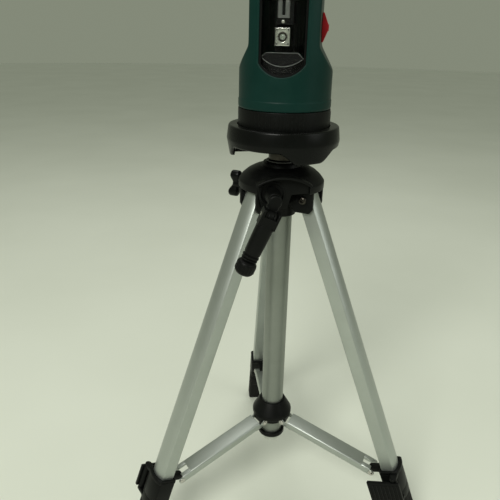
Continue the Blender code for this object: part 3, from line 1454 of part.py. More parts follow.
def make_electronics(head):
    high = WINDOW_TOP_SPRING
    block(
        "circuit_board",
        (-BOARD_HALF, BOARD_AT, SHOULDER_HIGH),
        (BOARD_HALF, BOARD_AT + BOARD_THICK, high),
        BOARD,
        head,
    )
    low = TURNTABLE_BOTTOM + TURNTABLE_FLOOR + GAP + 2 * MM
    pack = rod(
        "battery_pack",
        (0, CELL_AT, low),
        (0, CELL_AT, low + CELL_LENGTH),
        CELL_RADIUS,
        CELL,
        head,
        20,
    )
    for side in (-1, 1):
        at = side * CELL_PITCH
        join(
            pack,
            rod(
                f"cell_{side}",
                (at, CELL_AT, low),
                (at, CELL_AT, low + CELL_LENGTH),
                CELL_RADIUS,
                None,
                head,
                20,
            ),
        )
    band = CELL_RADIUS * 0.6
    join(
        pack,
        block(
            "cell_band",
            (-CELL_PITCH, CELL_AT - band, low + MM),
            (CELL_PITCH, CELL_AT + band, low + CELL_LENGTH - MM),
            None,
            head,
        ),
    )


def make_switch(head):
    """The red sliding switch on the right flank; its stem reaches in through a slot."""
    face = PILLAR_HALF + GAP
    low, high = SWITCH_CENTRE - SWITCH_HALF_HEIGHT, SWITCH_CENTRE + SWITCH_HALF_HEIGHT
    lip = MM
    outline = [
        (face, low),
        (face + lip, low),
        (face + SWITCH_PEAK, SWITCH_CENTRE - lip),
        (face + SWITCH_PEAK, SWITCH_CENTRE + lip),
        (face + lip, high),
        (face, high),
    ]
    back, front = -SWITCH_AT - SWITCH_HALF_WIDTH, -SWITCH_AT + SWITCH_HALF_WIDTH
    switch = plate("power_switch", [outline], back, front, RED, head, FACING_Y)
    stem = block(
        "switch_stem",
        (PILLAR_HALF - 2 * SHELL_WALL, SWITCH_AT - SWITCH_STEM_HALF, SWITCH_CENTRE - SWITCH_STEM_HALF_HEIGHT),
        (face + lip, SWITCH_AT + SWITCH_STEM_HALF, SWITCH_CENTRE + SWITCH_STEM_HALF_HEIGHT),
        None,
        head,
    )
    join(switch, stem)


for leg_name in LEG_AZIMUTHS:
    make_leg(leg_name)
    make_brace(leg_name)
make_hub()
make_guide()
make_column()
make_shoulder()
make_crank()
make_lock()
make_head()
bpy.context.view_layer.update()
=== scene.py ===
"""Looks for a laser level on a small folding tripod.

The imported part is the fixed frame. The pieces made here stand in for its plain solids at the same
sizes, with soft edges, ribs, grooves and finishes. Metres, +Z up, crank towards -Y.
"""

import math

import bmesh
import bpy
from mathutils import Matrix, Vector


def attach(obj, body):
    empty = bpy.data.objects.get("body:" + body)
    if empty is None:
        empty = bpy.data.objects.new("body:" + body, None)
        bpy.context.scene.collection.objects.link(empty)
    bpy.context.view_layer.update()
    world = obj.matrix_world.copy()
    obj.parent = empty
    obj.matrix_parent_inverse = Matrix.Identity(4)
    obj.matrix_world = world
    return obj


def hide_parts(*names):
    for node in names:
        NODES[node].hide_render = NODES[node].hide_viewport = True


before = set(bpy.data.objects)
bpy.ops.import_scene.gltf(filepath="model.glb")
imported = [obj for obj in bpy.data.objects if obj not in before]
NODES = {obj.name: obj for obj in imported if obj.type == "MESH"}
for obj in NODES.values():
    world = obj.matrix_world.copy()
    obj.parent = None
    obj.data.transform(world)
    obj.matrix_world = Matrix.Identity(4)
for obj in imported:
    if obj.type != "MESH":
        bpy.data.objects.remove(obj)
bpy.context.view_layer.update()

MM = 0.001
GAP = 0.3 * MM
SHARP_ANGLE = math.radians(38)
LEGS = {"front_left": 210.0, "front_right": 330.0, "rear": 90.0}

# Tripod sizes
LEG_ANGLE = math.radians(21.4)
HINGE_RADIUS = 29.5 * MM
HINGE_HEIGHT = 390.0 * MM
LEG_WIDTH = 22.2 * MM
LEG_SIDE = 13.3 * MM
LEG_CROWN = 3.2 * MM
LEG_WALL = 1.3 * MM
LEG_TOP = 5.0 * MM
RIM_Z = -316.6 * MM
TUBE_BOTTOM = -343.6 * MM
HOUSING_BOTTOM = -353.6 * MM
HOUSING_WALL = 2.8 * MM
HOUSING_INNER = 9.15 * MM
LUG_REACH = 21.0 * MM
LUG_DROP = 322.2 * MM
LUG_RADIUS = 4.2 * MM
LUG_WIDTH = 6.0 * MM
INNER_BOTTOM = -384.1 * MM
INNER_LENGTH = 270.0 * MM
FOOT_TOP = -354.1 * MM
LEVER_HINGE_OUT = 8.0 * MM
LEVER_HINGE_SIDE = 20.4 * MM
LEVER_TOP = -321.9 * MM
LEVER_BOTTOM = -347.3 * MM
LEVER_KNUCKLE = 3.7 * MM
LEVER_IN = -30.0 * MM
LEVER_OUT = 6.0 * MM
LEVER_BACK = -1.05 * MM
LEVER_FACE = -5.65 * MM
EAR_HEIGHT = 3.6 * MM
HUB_HEIGHT = 111.117 * MM
HUB_PIVOT = 17.2 * MM
BRACE_LENGTH = 114.0 * MM
BRACE_SLOPE = math.radians(14.62)
BRACE_HALF = 9.8 * MM
BRACE_WALL = 1.3 * MM
BRACE_EAR = 3.6 * MM
BRACE_RISE = 4.4 * MM
BRACE_WEB = (6.8 * MM, 112.0 * MM)
BRACE_SLOT = 101.5 * MM
GUIDE_RADIUS = 12.5 * MM
GUIDE_BOTTOM = 89.0 * MM
GUIDE_TOP = 384.0 * MM
CRANK_X = -12.8 * MM
CRANK_Z = 399.0 * MM
CRANK_REST = math.radians(23.5)
GRIP_Y = -67.0 * MM
ARM_LENGTH = 13.0 * MM
LOCK_AZIMUTH = 150.0
BROW_X = -1.9 * MM
BROW_Z = 369.3 * MM
BROW_RADIUS = 45.0 * MM
LOCK_HEIGHT = 393.0 * MM

# Head sizes
HEAD_YAW = math.radians(-13.0)
DRUM_TOP_RADIUS = 43.6 * MM
SHELL_BOTTOM = 475.5 * MM
SHELL_TOP = 598.0 * MM
SHELL_WALL = 2.4 * MM
PILLAR_HALF = 31.0 * MM
SHOULDER_HIGH = 530.0 * MM
SHOULDER_LOW = 510.3 * MM
CAP_TOP = 604.3 * MM
WINDOW_HALF = 21.0 * MM
WINDOW_BOTTOM = 504.6 * MM
WINDOW_SPRING = 516.0 * MM
WINDOW_TOP = 590.0 * MM
WINDOW_TOP_SPRING = 582.0 * MM
PANE_INSET = 2.6 * MM
PANE_RADII = (41.2 * MM, 39.8 * MM)
BAND_TOP = 484.2 * MM
DOOR_HALF = 24.0 * MM
DOOR_LOW = 483.0 * MM
DOOR_HIGH = 509.0 * MM
LASER_HEIGHT = 537.8 * MM


# Shader helpers


def new_group(name, inputs, outputs):
    """A shader node group with named sockets; returns the tree, its input node and its output node."""
    tree = bpy.data.node_groups.new(name, "ShaderNodeTree")
    kinds = {"f": "NodeSocketFloat", "v": "NodeSocketVector"}
    for label, kind, value in inputs:
        socket = tree.interface.new_socket(label, in_out="INPUT", socket_type=kinds[kind])
        if value is not None:
            socket.default_value = value
    for label, kind in outputs:
        tree.interface.new_socket(label, in_out="OUTPUT", socket_type=kinds[kind])
    return tree, tree.nodes.new("NodeGroupInput"), tree.nodes.new("NodeGroupOutput")


def node(tree, kind, links=None, **settings):
    """A node with settings, and links from sockets or plain values to its inputs."""
    made = tree.nodes.new(kind)
    for key, value in settings.items():
        setattr(made, key, value)
    for key, value in (links or {}).items():
        socket = made.inputs[key]
        if isinstance(value, bpy.types.NodeSocket):
            tree.links.new(value, socket)
        else:
            socket.default_value = value
    return made


def noise(tree, place, scale, detail, roughness):
    """The grey of a noise texture."""
    links = {"Vector": place, "Scale": scale, "Detail": detail, "Roughness": roughness}
    return node(tree, "ShaderNodeTexNoise", links).outputs["Fac"]


def spread(tree, value, low, high, start=0.3, end=0.7):
    """A value brought from one range to another; the first is, if not given, where noise mostly lies."""
    links = {"Value": value, "From Min": start, "From Max": end, "To Min": low, "To Max": high}
    return node(tree, "ShaderNodeMapRange", links).outputs["Result"]


def times(tree, first, second):
    return node(tree, "ShaderNodeMath", {0: first, 1: second}, operation="MULTIPLY").outputs[0]


def moulded_grain_group():
    """Fine spark-eroded mould texture and slow cloudiness for plastics and rubber."""
    inputs = [("Grain Size", "f", 2200.0), ("Cloud Size", "f", 45.0), ("Place", "v", None)]
    tree, start, end = new_group("moulded_grain", inputs, [("Grain", "f"), ("Cloud", "f")])
    place = start.outputs["Place"]
    tree.links.new(noise(tree, place, start.outputs["Grain Size"], 2.0, 0.55), end.inputs["Grain"])
    tree.links.new(noise(tree, place, start.outputs["Cloud Size"], 4.0, 0.6), end.inputs["Cloud"])
    return tree


def edge_wear_group():
    """A mask of rubbed edges: where a softened normal leaves the true one, broken up by noise."""
    inputs = [("Reach", "f", 0.0006), ("Amount", "f", 0.5), ("Place", "v", None)]
    tree, start, end = new_group("edge_wear", inputs, [("Wear", "f")])
    soft = node(tree, "ShaderNodeBevel", {"Radius": start.outputs["Reach"]}, samples=4)
    true = node(tree, "ShaderNodeNewGeometry")
    normals = {0: soft.outputs["Normal"], 1: true.outputs["Normal"]}
    dot = node(tree, "ShaderNodeVectorMath", normals, operation="DOT_PRODUCT")
    edge = spread(tree, dot.outputs["Value"], 0.0, 1.0, 0.985, 0.90)
    broken = spread(tree, noise(tree, start.outputs["Place"], 420.0, 5.0, 0.7), 0.0, 1.0, 0.42, 0.62)
    tree.links.new(times(tree, times(tree, edge, broken), start.outputs["Amount"]), end.inputs["Wear"])
    return tree


def dust_group():
    """A mask of settled dust: thicker on faces that look up, and blotchy."""
    inputs = [("Amount", "f", 0.2), ("Place", "v", None)]
    tree, start, end = new_group("settled_dust", inputs, [("Dust", "f")])
    shape = node(tree, "ShaderNodeNewGeometry")
    parts = node(tree, "ShaderNodeSeparateXYZ", {0: shape.outputs["Normal"]})
    up = spread(tree, parts.outputs["Z"], 0.12, 1.0, -0.2, 1.0)
    blotch = spread(tree, noise(tree, start.outputs["Place"], 130.0, 6.0, 0.68), 0.0, 1.0, 0.38, 0.75)
    tree.links.new(times(tree, times(tree, up, blotch), start.outputs["Amount"]), end.inputs["Dust"])
    return tree


def drawn_lines_group():
    """Fine lines along a drawn profile, for a place whose Z runs along the drawing."""
    inputs = [("Lines", "f", 2600.0), ("Stretch", "f", 0.006), ("Place", "v", None)]
    tree, start, end = new_group("drawn_lines", inputs, [("Lines", "f"), ("Stain", "f")])
    place = start.outputs["Place"]
    scale = node(tree, "ShaderNodeCombineXYZ", {"X": 1.0, "Y": 1.0, "Z": start.outputs["Stretch"]})
    pulled = node(tree, "ShaderNodeVectorMath", {0: place, 1: scale.outputs[0]}, operation="MULTIPLY")
    lines = noise(tree, pulled.outputs[0], start.outputs["Lines"], 3.0, 0.6)
    tree.links.new(lines, end.inputs["Lines"])
    tree.links.new(noise(tree, place, 38.0, 5.0, 0.62), end.inputs["Stain"])
    return tree


GRAIN = moulded_grain_group()
WEAR = edge_wear_group()
DUST = dust_group()
LINES = drawn_lines_group()


def blank_material(name):
    mat = bpy.data.materials.new(name)
    mat.use_nodes = True
    return mat, mat.node_tree, mat.node_tree.nodes["Principled BSDF"]


def mix_colour(tree, factor, first, second):
    mix = node(tree, "ShaderNodeMix", data_type="RGBA")
    for label, value in (("Factor", factor), ("A", first), ("B", second)):
        socket = mix.inputs[label]
        if isinstance(value, bpy.types.NodeSocket):
            tree.links.new(value, socket)
        else:
            socket.default_value = value if isinstance(value, float) else (*value, 1.0)
    return mix.outputs["Result"]


def wire_up(tree, shader, base, gloss, dust, relief):
    """Colour, roughness with dust on it, and fine relief, to a material's shader."""
    tree.links.new(base, shader.inputs["Base Color"])
    matt = node(tree, "ShaderNodeMath", {0: gloss, 1: dust}, operation="ADD", use_clamp=True)
    tree.links.new(matt.outputs[0], shader.inputs["Roughness"])
    tree.links.new(node(tree, "ShaderNodeBump", relief).outputs["Normal"], shader.inputs["Normal"])


def plastic(name, colour, pale, roughness, grain, wear, dust, grain_size=2200.0):
    """Moulded plastic or rubber: fine grain, cloudy gloss, rubbed edges and a little dust."""
    mat, tree, shader = blank_material(name)
    place = node(tree, "ShaderNodeTexCoord").outputs["Object"]
    skin = node(tree, "ShaderNodeGroup", {"Place": place, "Grain Size": grain_size}, node_tree=GRAIN)
    rub = node(tree, "ShaderNodeGroup", {"Place": place, "Amount": wear}, node_tree=WEAR)
    dirt = node(tree, "ShaderNodeGroup", {"Place": place, "Amount": dust}, node_tree=DUST)
    deep = tuple(c * 0.86 for c in colour)
    base = mix_colour(tree, spread(tree, skin.outputs["Cloud"], 0.0, 1.0), deep, colour)
    base = mix_colour(tree, rub.outputs["Wear"], base, pale)
    base = mix_colour(tree, dirt.outputs["Dust"], base, (0.36, 0.35, 0.30))
    gloss = spread(tree, skin.outputs["Cloud"], roughness - 0.06, roughness + 0.07)
    relief = {"Height": skin.outputs["Grain"], "Strength": grain, "Distance": 0.0002}
    wire_up(tree, shader, base, gloss, dirt.outputs["Dust"], relief)
    shader.inputs["Specular IOR Level"].default_value = 0.13
    return mat


def metal(name, colour, roughness, metallic, drawn, bump, dust, stain):
    """Bare or anodised metal: drawn lines where the piece carries its own place, otherwise fine grain."""
    mat, tree, shader = blank_material(name)
    own = place = node(tree, "ShaderNodeTexCoord").outputs["Object"]
    if drawn:
        place = node(tree, "ShaderNodeAttribute", attribute_name="drawn_place").outputs["Vector"]
    lines = node(tree, "ShaderNodeGroup", {"Place": place, "Stretch": drawn or 0.6}, node_tree=LINES)
    dirt = node(tree, "ShaderNodeGroup", {"Place": own, "Amount": dust}, node_tree=DUST)
    deep = tuple(c * (1 - stain) for c in colour)
    base = mix_colour(tree, spread(tree, lines.outputs["Stain"], 0.0, 1.0), deep, colour)
    bright = tuple(min(1.0, c * 1.06) for c in colour)
    base = mix_colour(tree, spread(tree, lines.outputs["Lines"], 0.0, 0.5), base, bright)
    base = mix_colour(tree, dirt.outputs["Dust"], base, (0.40, 0.39, 0.34))
    gloss = spread(tree, lines.outputs["Lines"], roughness - 0.05, roughness + 0.07)
    relief = {"Height": lines.outputs["Lines"], "Strength": bump, "Distance": 0.0001}
    wire_up(tree, shader, base, gloss, times(tree, dirt.outputs["Dust"], 0.5), relief)
    shader.inputs["Metallic"].default_value = metallic
    return mat


def clear_plastic(name, tint, roughness, alpha=1.0):
    """Clear plastic or glass, with the faintest haze."""
    mat, tree, shader = blank_material(name)
    place = node(tree, "ShaderNodeTexCoord").outputs["Object"]
    skin = node(tree, "ShaderNodeGroup", {"Place": place}, node_tree=GRAIN)
    gloss = spread(tree, skin.outputs["Cloud"], roughness * 0.5, roughness * 1.8)
    tree.links.new(gloss, shader.inputs["Roughness"])
    shader.inputs["Base Color"].default_value = (*tint, 1.0)
    shader.inputs["Transmission Weight"].default_value = 1.0
    shader.inputs["Alpha"].default_value = alpha
    shader.inputs["IOR"].default_value = 1.25
    return mat


def printed_board(name):
    """Green solder mask with copper runs under it and pale pads."""
    mat, tree, shader = blank_material(name)
    place = node(tree, "ShaderNodeTexCoord").outputs["Object"]
    weave = {"Vector": place, "Scale": 260.0, "Mortar Size": 0.06, "Bias": -0.4}
    runs = node(tree, "ShaderNodeTexBrick", weave)
    pads = node(tree, "ShaderNodeTexVoronoi", {"Vector": place, "Scale": 330.0})
    spot = spread(tree, pads.outputs["Distance"], 0.0, 1.0, 0.18, 0.12)
    base = mix_colour(tree, runs.outputs["Fac"], (0.0012, 0.006, 0.003), (0.002, 0.010, 0.005))
    base = mix_colour(tree, spot, base, (0.05, 0.048, 0.04))
    tree.links.new(base, shader.inputs["Base Color"])
    shader.inputs["Roughness"].default_value = 0.45
    shader.inputs["Specular IOR Level"].default_value = 0.15
    return mat


GREEN = plastic(
    "bottle_green_plastic", (0.0022, 0.0235, 0.0185), (0.02, 0.075, 0.06), 0.38, 0.08, 0.3, 0.01
)
BLACK = plastic(
    "black_moulded_plastic", (0.0026, 0.0030, 0.0027), (0.025, 0.027, 0.025), 0.42, 0.12, 0.4, 0.008
)
GLOSS_BLACK = plastic(
    "black_gloss_plastic", (0.0024, 0.0028, 0.0025), (0.02, 0.02, 0.02), 0.28, 0.04, 0.3, 0.006
)
INSIDE = plastic(
    "dark_inside_plastic", (0.0022, 0.0024, 0.0022), (0.01, 0.01, 0.01), 0.62, 0.10, 0.2, 0.0
)
RUBBER = plastic("black_rubber", (0.009, 0.009, 0.0085), (0.04, 0.04, 0.035), 0.78, 0.3, 0.3, 0.12, 900.0)
RED = plastic("red_switch_plastic", (0.42, 0.016, 0.022), (0.55, 0.10, 0.09), 0.36, 0.08, 0.3, 0.02)
ANODISED = metal("anodised_aluminium", (0.44, 0.47, 0.44), 0.40, 0.85, 0.006, 0.10, 0.03, 0.10)
# Painted shade: the legs' anodised aluminium made darker, for the guide tube in shade.
SHADED_TUBE_ALUMINIUM = metal("tube_aluminium_with_painted_shade", (0.27, 0.29, 0.262), 0.42, 0.85, 0.006, 0.10, 0.03, 0.12)
RAW_ALUMINIUM = metal("mill_aluminium", (0.62, 0.63, 0.60), 0.36, 0.9, None, 0.08, 0.05, 0.10)
STEEL = metal("bright_steel", (0.60, 0.58, 0.55), 0.22, 1.0, None, 0.05, 0.04, 0.15)
# Painted shade: steel darkened far below its own colour, for the column head in the dish's shadow; the pivot
# screws and the laser barrel share this dark colour.
SHADE_DARKENED_STEEL = metal("steel_darkened_as_painted_shade", (0.055, 0.05, 0.043), 0.34, 1.0, None, 0.10, 0.03, 0.35)
ZINC = metal("grey_zinc", (0.10, 0.10, 0.10), 0.45, 0.85, None, 0.15, 0.03, 0.2)
SILVER = metal("polished_module_steel", (0.80, 0.79, 0.76), 0.20, 1.0, None, 0.10, 0.0, 0.35)
PALE_STRIP = plastic("pale_bracket_plastic", (0.13, 0.135, 0.125), (0.4, 0.4, 0.4), 0.4, 0.05, 0.2, 0.0)
# Painted highlight: a pale plastic for a thin bead that stands for a bright glint along an edge.
PAINTED_HIGHLIGHT_EDGE = plastic("painted_highlight_edge_plastic", (0.16, 0.17, 0.16), (0.25, 0.25, 0.25), 0.35, 0.05, 0.2, 0.0)
PANE = clear_plastic("clear_pane", (0.92, 0.97, 0.95), 0.02, 0.3)
LENS = clear_plastic("lens_glass", (0.85, 0.92, 0.90), 0.01)
BOARD = printed_board("circuit_board")
CELL = plastic("cell_jacket", (0.10, 0.11, 0.12), (0.3, 0.3, 0.3), 0.34, 0.05, 0.2, 0.05)


# Mesh helpers


def mm(values):
    """Numbers, or tuples of them, from millimetres to metres."""
    return [tuple(v * MM for v in p) if isinstance(p, tuple) else p * MM for p in values]


def full_turn(steps):
    return [2 * math.pi * i / steps for i in range(steps)]


def arc(centre, radius, start, end, count):
    """Points of a circular arc; angles in degrees."""
    turns = [math.radians(start + (end - start) * i / count) for i in range(count + 1)]
    return [(centre[0] + radius * math.cos(t), centre[1] + radius * math.sin(t)) for t in turns]


def rounded(points, radius, closed=True, steps=4):
    """A polyline with its corners turned into arcs; radius is one value, or one for each point."""
    count = len(points)
    radii = radius if isinstance(radius, (list, tuple)) else [radius] * count
    result = []
    for i, point in enumerate(points):
        here = Vector(point)
        end = not closed and i in (0, count - 1)
        before = Vector(points[i - 1]) - here
        after = Vector(points[(i + 1) % count]) - here
        if end or radii[i] <= 0 or before.length < 1e-9 or after.length < 1e-9:
            result.append(tuple(here))
            continue
        angle = before.angle(after)
        if angle > 3.1 or angle < 0.02:
            result.append(tuple(here))
            continue
        reach = min(radii[i] / math.tan(angle / 2), 0.49 * before.length, 0.49 * after.length)
        size = reach * math.tan(angle / 2)
        inward = (before.normalized() + after.normalized()).normalized()
        middle = here + inward * (size / math.sin(angle / 2))
        first = here + before.normalized() * reach - middle
        last = here + after.normalized() * reach - middle
        for k in range(steps + 1):
            way = first.lerp(last, k / steps).normalized()
            result.append(tuple(middle + way * size))
    return result


def shown(name, data):
    """A new object in the scene."""
    obj = bpy.data.objects.new(name, data)
    bpy.context.scene.collection.objects.link(obj)
    return obj


def as_built(obj):
    """A bmesh of what an object comes to, with its modifiers."""
    bpy.context.view_layer.update()
    mesh = bpy.data.meshes.new_from_object(obj.evaluated_get(bpy.context.evaluated_depsgraph_get()))
    bm = bmesh.new()
    bm.from_mesh(mesh)
    bpy.data.meshes.remove(mesh)
    return bm


def finished(name, bm, mat, place=None, drawn=None):
    """A closed mesh from a bmesh, facing out, with the drawn place kept before it is set down."""
    bmesh.ops.remove_doubles(bm, verts=bm.verts, dist=1e-7)
    bmesh.ops.recalc_face_normals(bm, faces=bm.faces)
    mesh = bpy.data.meshes.new(name)
    bm.to_mesh(mesh)
    bm.free()
    mesh.materials.append(mat)
    own = mesh.attributes.new("drawn_place", "FLOAT_VECTOR", "POINT")
    turn = drawn or FLAT
    for slot, vert in zip(own.data, mesh.vertices):
        slot.vector = turn @ vert.co
    if place is not None:
        mesh.transform(place)
    return mesh


def turned(profile, mat, place=None, steps=96, ring=False):
    """A mesh turned about Z from (radius, height) points; a radius may be a rule of the angle."""
    bm = bmesh.new()
    turns = full_turn(steps)
    rows = []
    for radius, height in profile:
        rule = radius if callable(radius) else None
        if rule is None and radius < 1e-7:
            rows.append([bm.verts.new((0.0, 0.0, height))])
            continue
        spots = [(t, rule(t) if rule else radius) for t in turns]
        rows.append([bm.verts.new((r * math.cos(t), r * math.sin(t), height)) for t, r in spots])
    for upper, lower in zip(rows, rows[1:] + (rows[:1] if ring else [])):
        for i in range(steps):
            j = (i + 1) % steps
            corners = [upper[i % len(upper)], lower[i % len(lower)]]
            corners += [lower[j % len(lower)], upper[j % len(upper)]]
            corners = list(dict.fromkeys(corners))
            if len(corners) > 2:
                bm.faces.new(corners)
    return finished("turned", bm, mat, place)


def turned_ring(points, radii, mat, place=None, steps=72):
    """A turned ring of (radius, height) points in millimetres, with rounded corners."""
    return turned(rounded(mm(points), mm(radii)), mat, place, steps, True)


def close_panel(bm, outer, inner):
    """The faces of two like sheets of points, and of the border between them."""
    tall, wide = len(outer) - 1, len(outer[0]) - 1
    for rows in (outer, inner):
        for first, second in zip(rows, rows[1:]):
            for k in range(wide):
                bm.faces.new((first[k], first[k + 1], second[k + 1], second[k]))
    border = [(i, 0) for i in range(tall)] + [(tall, k) for k in range(wide)]
    border += [(i, wide) for i in range(tall, 0, -1)] + [(0, k) for k in range(wide, 0, -1)]
    for (a, b), (c, d) in zip(border, border[1:] + border[:1]):
        bm.faces.new((outer[a][b], outer[c][d], inner[c][d], inner[a][b]))


FLAT = Matrix.Identity(4)
ABOUT_X = Matrix.Rotation(math.radians(90), 4, "X")
ABOUT_Y = Matrix.Rotation(math.radians(90), 4, "Y")
FACING_Y = Matrix(((1, 0, 0, 0), (0, 0, -1, 0), (0, 1, 0, 0), (0, 0, 0, 1)))
FACING_X = Matrix(((0, 0, 1, 0), (1, 0, 0, 0), (0, 1, 0, 0), (0, 0, 0, 1)))


def slab(loops, low, high, mat, place=None, lie=FLAT, edge=0.4 * MM, drawn=None, steps=2):
    """A flat outline with any holes, extruded from low to high with rolled edges."""
    curve = bpy.data.curves.new("slab", "CURVE")
    curve.dimensions = "2D"
    curve.fill_mode = "BOTH"
    edge = min(edge, abs(high - low) * 0.48)
    curve.extrude = abs(high - low) / 2 - edge
    curve.bevel_depth = edge
    curve.bevel_resolution = steps
    curve.offset = -edge
    for loop in loops:
        spline = curve.splines.new("POLY")
        spline.points.add(len(loop) - 1)
        for point, (u, v) in zip(spline.points, loop):
            point.co = (u, v, 0.0, 1.0)
        spline.use_cyclic_u = True
    guide = shown("slab", curve)
    bm = as_built(guide)
    bpy.data.objects.remove(guide)
    bpy.data.curves.remove(curve)
    bmesh.ops.remove_doubles(bm, verts=bm.verts, dist=2e-6)
    bm.transform(lie @ Matrix.Translation((0, 0, (low + high) / 2)))
    return finished("slab", bm, mat, place, drawn)


def pair(loops, near, far, place, lie, edge, steps=2):
    """Two like black slabs, one on each side of the middle."""
    sides = ((near, far), (-far, -near))
    return [slab(loops, low, high, BLACK, place, lie, edge, steps=steps) for low, high in sides]


def brick(low, high, mat, place=None, edge=0.5 * MM, segments=2):
    """A box with rolled edges."""
    low, high = Vector(low), Vector(high)
    bm = bmesh.new()
    size = Matrix.Translation((low + high) / 2) @ Matrix.Diagonal((*(high - low), 1.0))
    bmesh.ops.create_cube(bm, size=1.0, matrix=size)
    roll = {"offset": edge, "segments": segments, "profile": 0.5, "affect": "EDGES", "clamp_overlap": True}
    bmesh.ops.bevel(bm, geom=list(bm.edges), **roll)
    return finished("brick", bm, mat, place)


def loft(rings, mat, place=None, closed=False):
    """A skin over rings of points; its ends are capped unless it closes on itself."""
    bm = bmesh.new()
    rows = [[bm.verts.new(p) for p in ring] for ring in rings]
    count = len(rows[0])
    for first, second in zip(rows, rows[1:] + (rows[:1] if closed else [])):
        for i in range(count):
            j = (i + 1) % count
            bm.faces.new((first[i], first[j], second[j], second[i]))
    if not closed:
        bm.faces.new(list(reversed(rows[0])))
        bm.faces.new(rows[-1])
    return finished("loft", bm, mat, place)


def pipe(path, radius, mat, place, sides):
    """A round bead along a closed path."""
    points = [Vector(p) for p in path]
    turns = full_turn(sides)
    rings = []
    for i, point in enumerate(points):
        along = (points[(i + 1) % len(points)] - points[i - 1]).normalized()
        side = along.cross(Vector((0.0, 1.0, 0.0)))
        side = side.normalized() if side.length > 1e-6 else Vector((1.0, 0.0, 0.0))
        up = side.cross(along).normalized()
        rings.append([point + radius * (math.cos(t) * side + math.sin(t) * up) for t in turns])
    return loft(rings, mat, place, True)


def hexagon(radius):
    """A rule for a hexagonal socket's radius at an angle."""
    return lambda turn: radius / math.cos((turn % (math.pi / 3)) - math.pi / 6)


def piece(name, parts, body, nodes=()):
    """One object of several closed meshes that rides on a body and may stand for CAD nodes."""
    bm = bmesh.new()
    mats = []
    for mesh in parts:
        first = len(bm.faces)
        bm.from_mesh(mesh)
        mat = mesh.materials[0]
        if mat not in mats:
            mats.append(mat)
        bm.faces.ensure_lookup_table()
        for face in bm.faces[first:]:
            face.material_index = mats.index(mat)
            face.smooth = True
        bpy.data.meshes.remove(mesh)
    mesh = bpy.data.meshes.new(name)
    bm.to_mesh(mesh)
    bm.free()
    for mat in mats:
        mesh.materials.append(mat)
    mesh.set_sharp_from_angle(angle=SHARP_ANGLE)
    obj = shown(name, mesh)
    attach(obj, body)
    if nodes:
        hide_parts(*nodes)


# Geometry Nodes helpers


def node_tool(name, sockets):
    """An empty geometry tree with named inputs and one geometry output."""
    tree = bpy.data.node_groups.new(name, "GeometryNodeTree")
    kinds = {
        "g": "NodeSocketGeometry", "f": "NodeSocketFloat", "i": "NodeSocketInt", "v": "NodeSocketVector",
        "m": "NodeSocketMaterial"
    }
    for label, kind in sockets:
        tree.interface.new_socket(label, in_out="INPUT", socket_type=kinds[kind])
    tree.interface.new_socket("Geometry", in_out="OUTPUT", socket_type="NodeSocketGeometry")
    return tree, tree.nodes.new("NodeGroupInput"), tree.nodes.new("NodeGroupOutput")


def close_tool(tree, start, end, geometry):
    real = node(tree, "GeometryNodeRealizeInstances", {"Geometry": geometry})
    links = {"Geometry": real.outputs[0], "Material": start.outputs["Material"]}
    painted = node(tree, "GeometryNodeSetMaterial", links)
    tree.links.new(painted.outputs[0], end.inputs["Geometry"])
    return tree


def round_rib(tree, start, first, last, sides):
    """One round rib between two of a tool's inputs."""
    ends = {"Start": start.outputs[first], "End": start.outputs[last]}
    line = node(tree, "GeometryNodeCurvePrimitiveLine", ends)
    size = {"Resolution": sides, "Radius": start.outputs["Rib Radius"]}
    ring = node(tree, "GeometryNodeCurvePrimitiveCircle", size)
    links = {"Curve": line.outputs[0], "Profile Curve": ring.outputs[0], "Fill Caps": True}
    return node(tree, "GeometryNodeCurveToMesh", links).outputs[0]


def ribs_in_line_tool():
    """Round ribs set side by side: each runs from Rib Start to Rib End and the next is one Step on."""
    sockets = [("Geometry", "g"), ("Count", "i"), ("Step", "v"), ("Rib Start", "v"), ("Rib End", "v")]
    tree, start, end = node_tool("ribs_in_line", [*sockets, ("Rib Radius", "f"), ("Material", "m")])
    rib = round_rib(tree, start, "Rib Start", "Rib End", 12)
    spacing = {"Count": start.outputs["Count"], "Offset": start.outputs["Step"]}
    row = node(tree, "GeometryNodeMeshLine", spacing)
    links = {"Points": row.outputs[0], "Instance": rib}
    return close_tool(tree, start, end, node(tree, "GeometryNodeInstanceOnPoints", links).outputs[0])


def ribs_on_arc_tool():
    """Upright round ribs on a circle about Z, evenly from Start Angle over Sweep."""
    sockets = [("Geometry", "g"), ("Count", "i"), ("Circle Radius", "f"), ("Start Angle", "f")]
    sockets += [("Sweep", "f"), ("Bottom", "v"), ("Top", "v"), ("Rib Radius", "f"), ("Material", "m")]
    tree, start, end = node_tool("ribs_on_arc", sockets)
    rib = round_rib(tree, start, "Bottom", "Top", 10)
    names = {"Resolution": "Count", "Radius": "Circle Radius", "Start Angle": "Start Angle"}
    names["Sweep Angle"] = "Sweep"
    bend = node(tree, "GeometryNodeCurveArc", {key: start.outputs[name] for key, name in names.items()})
    places = node(tree, "GeometryNodeCurveToPoints", {"Curve": bend.outputs[0]}, mode="EVALUATED")
    links = {"Points": places.outputs[0], "Instance": rib}
    return close_tool(tree, start, end, node(tree, "GeometryNodeInstanceOnPoints", links).outputs[0])


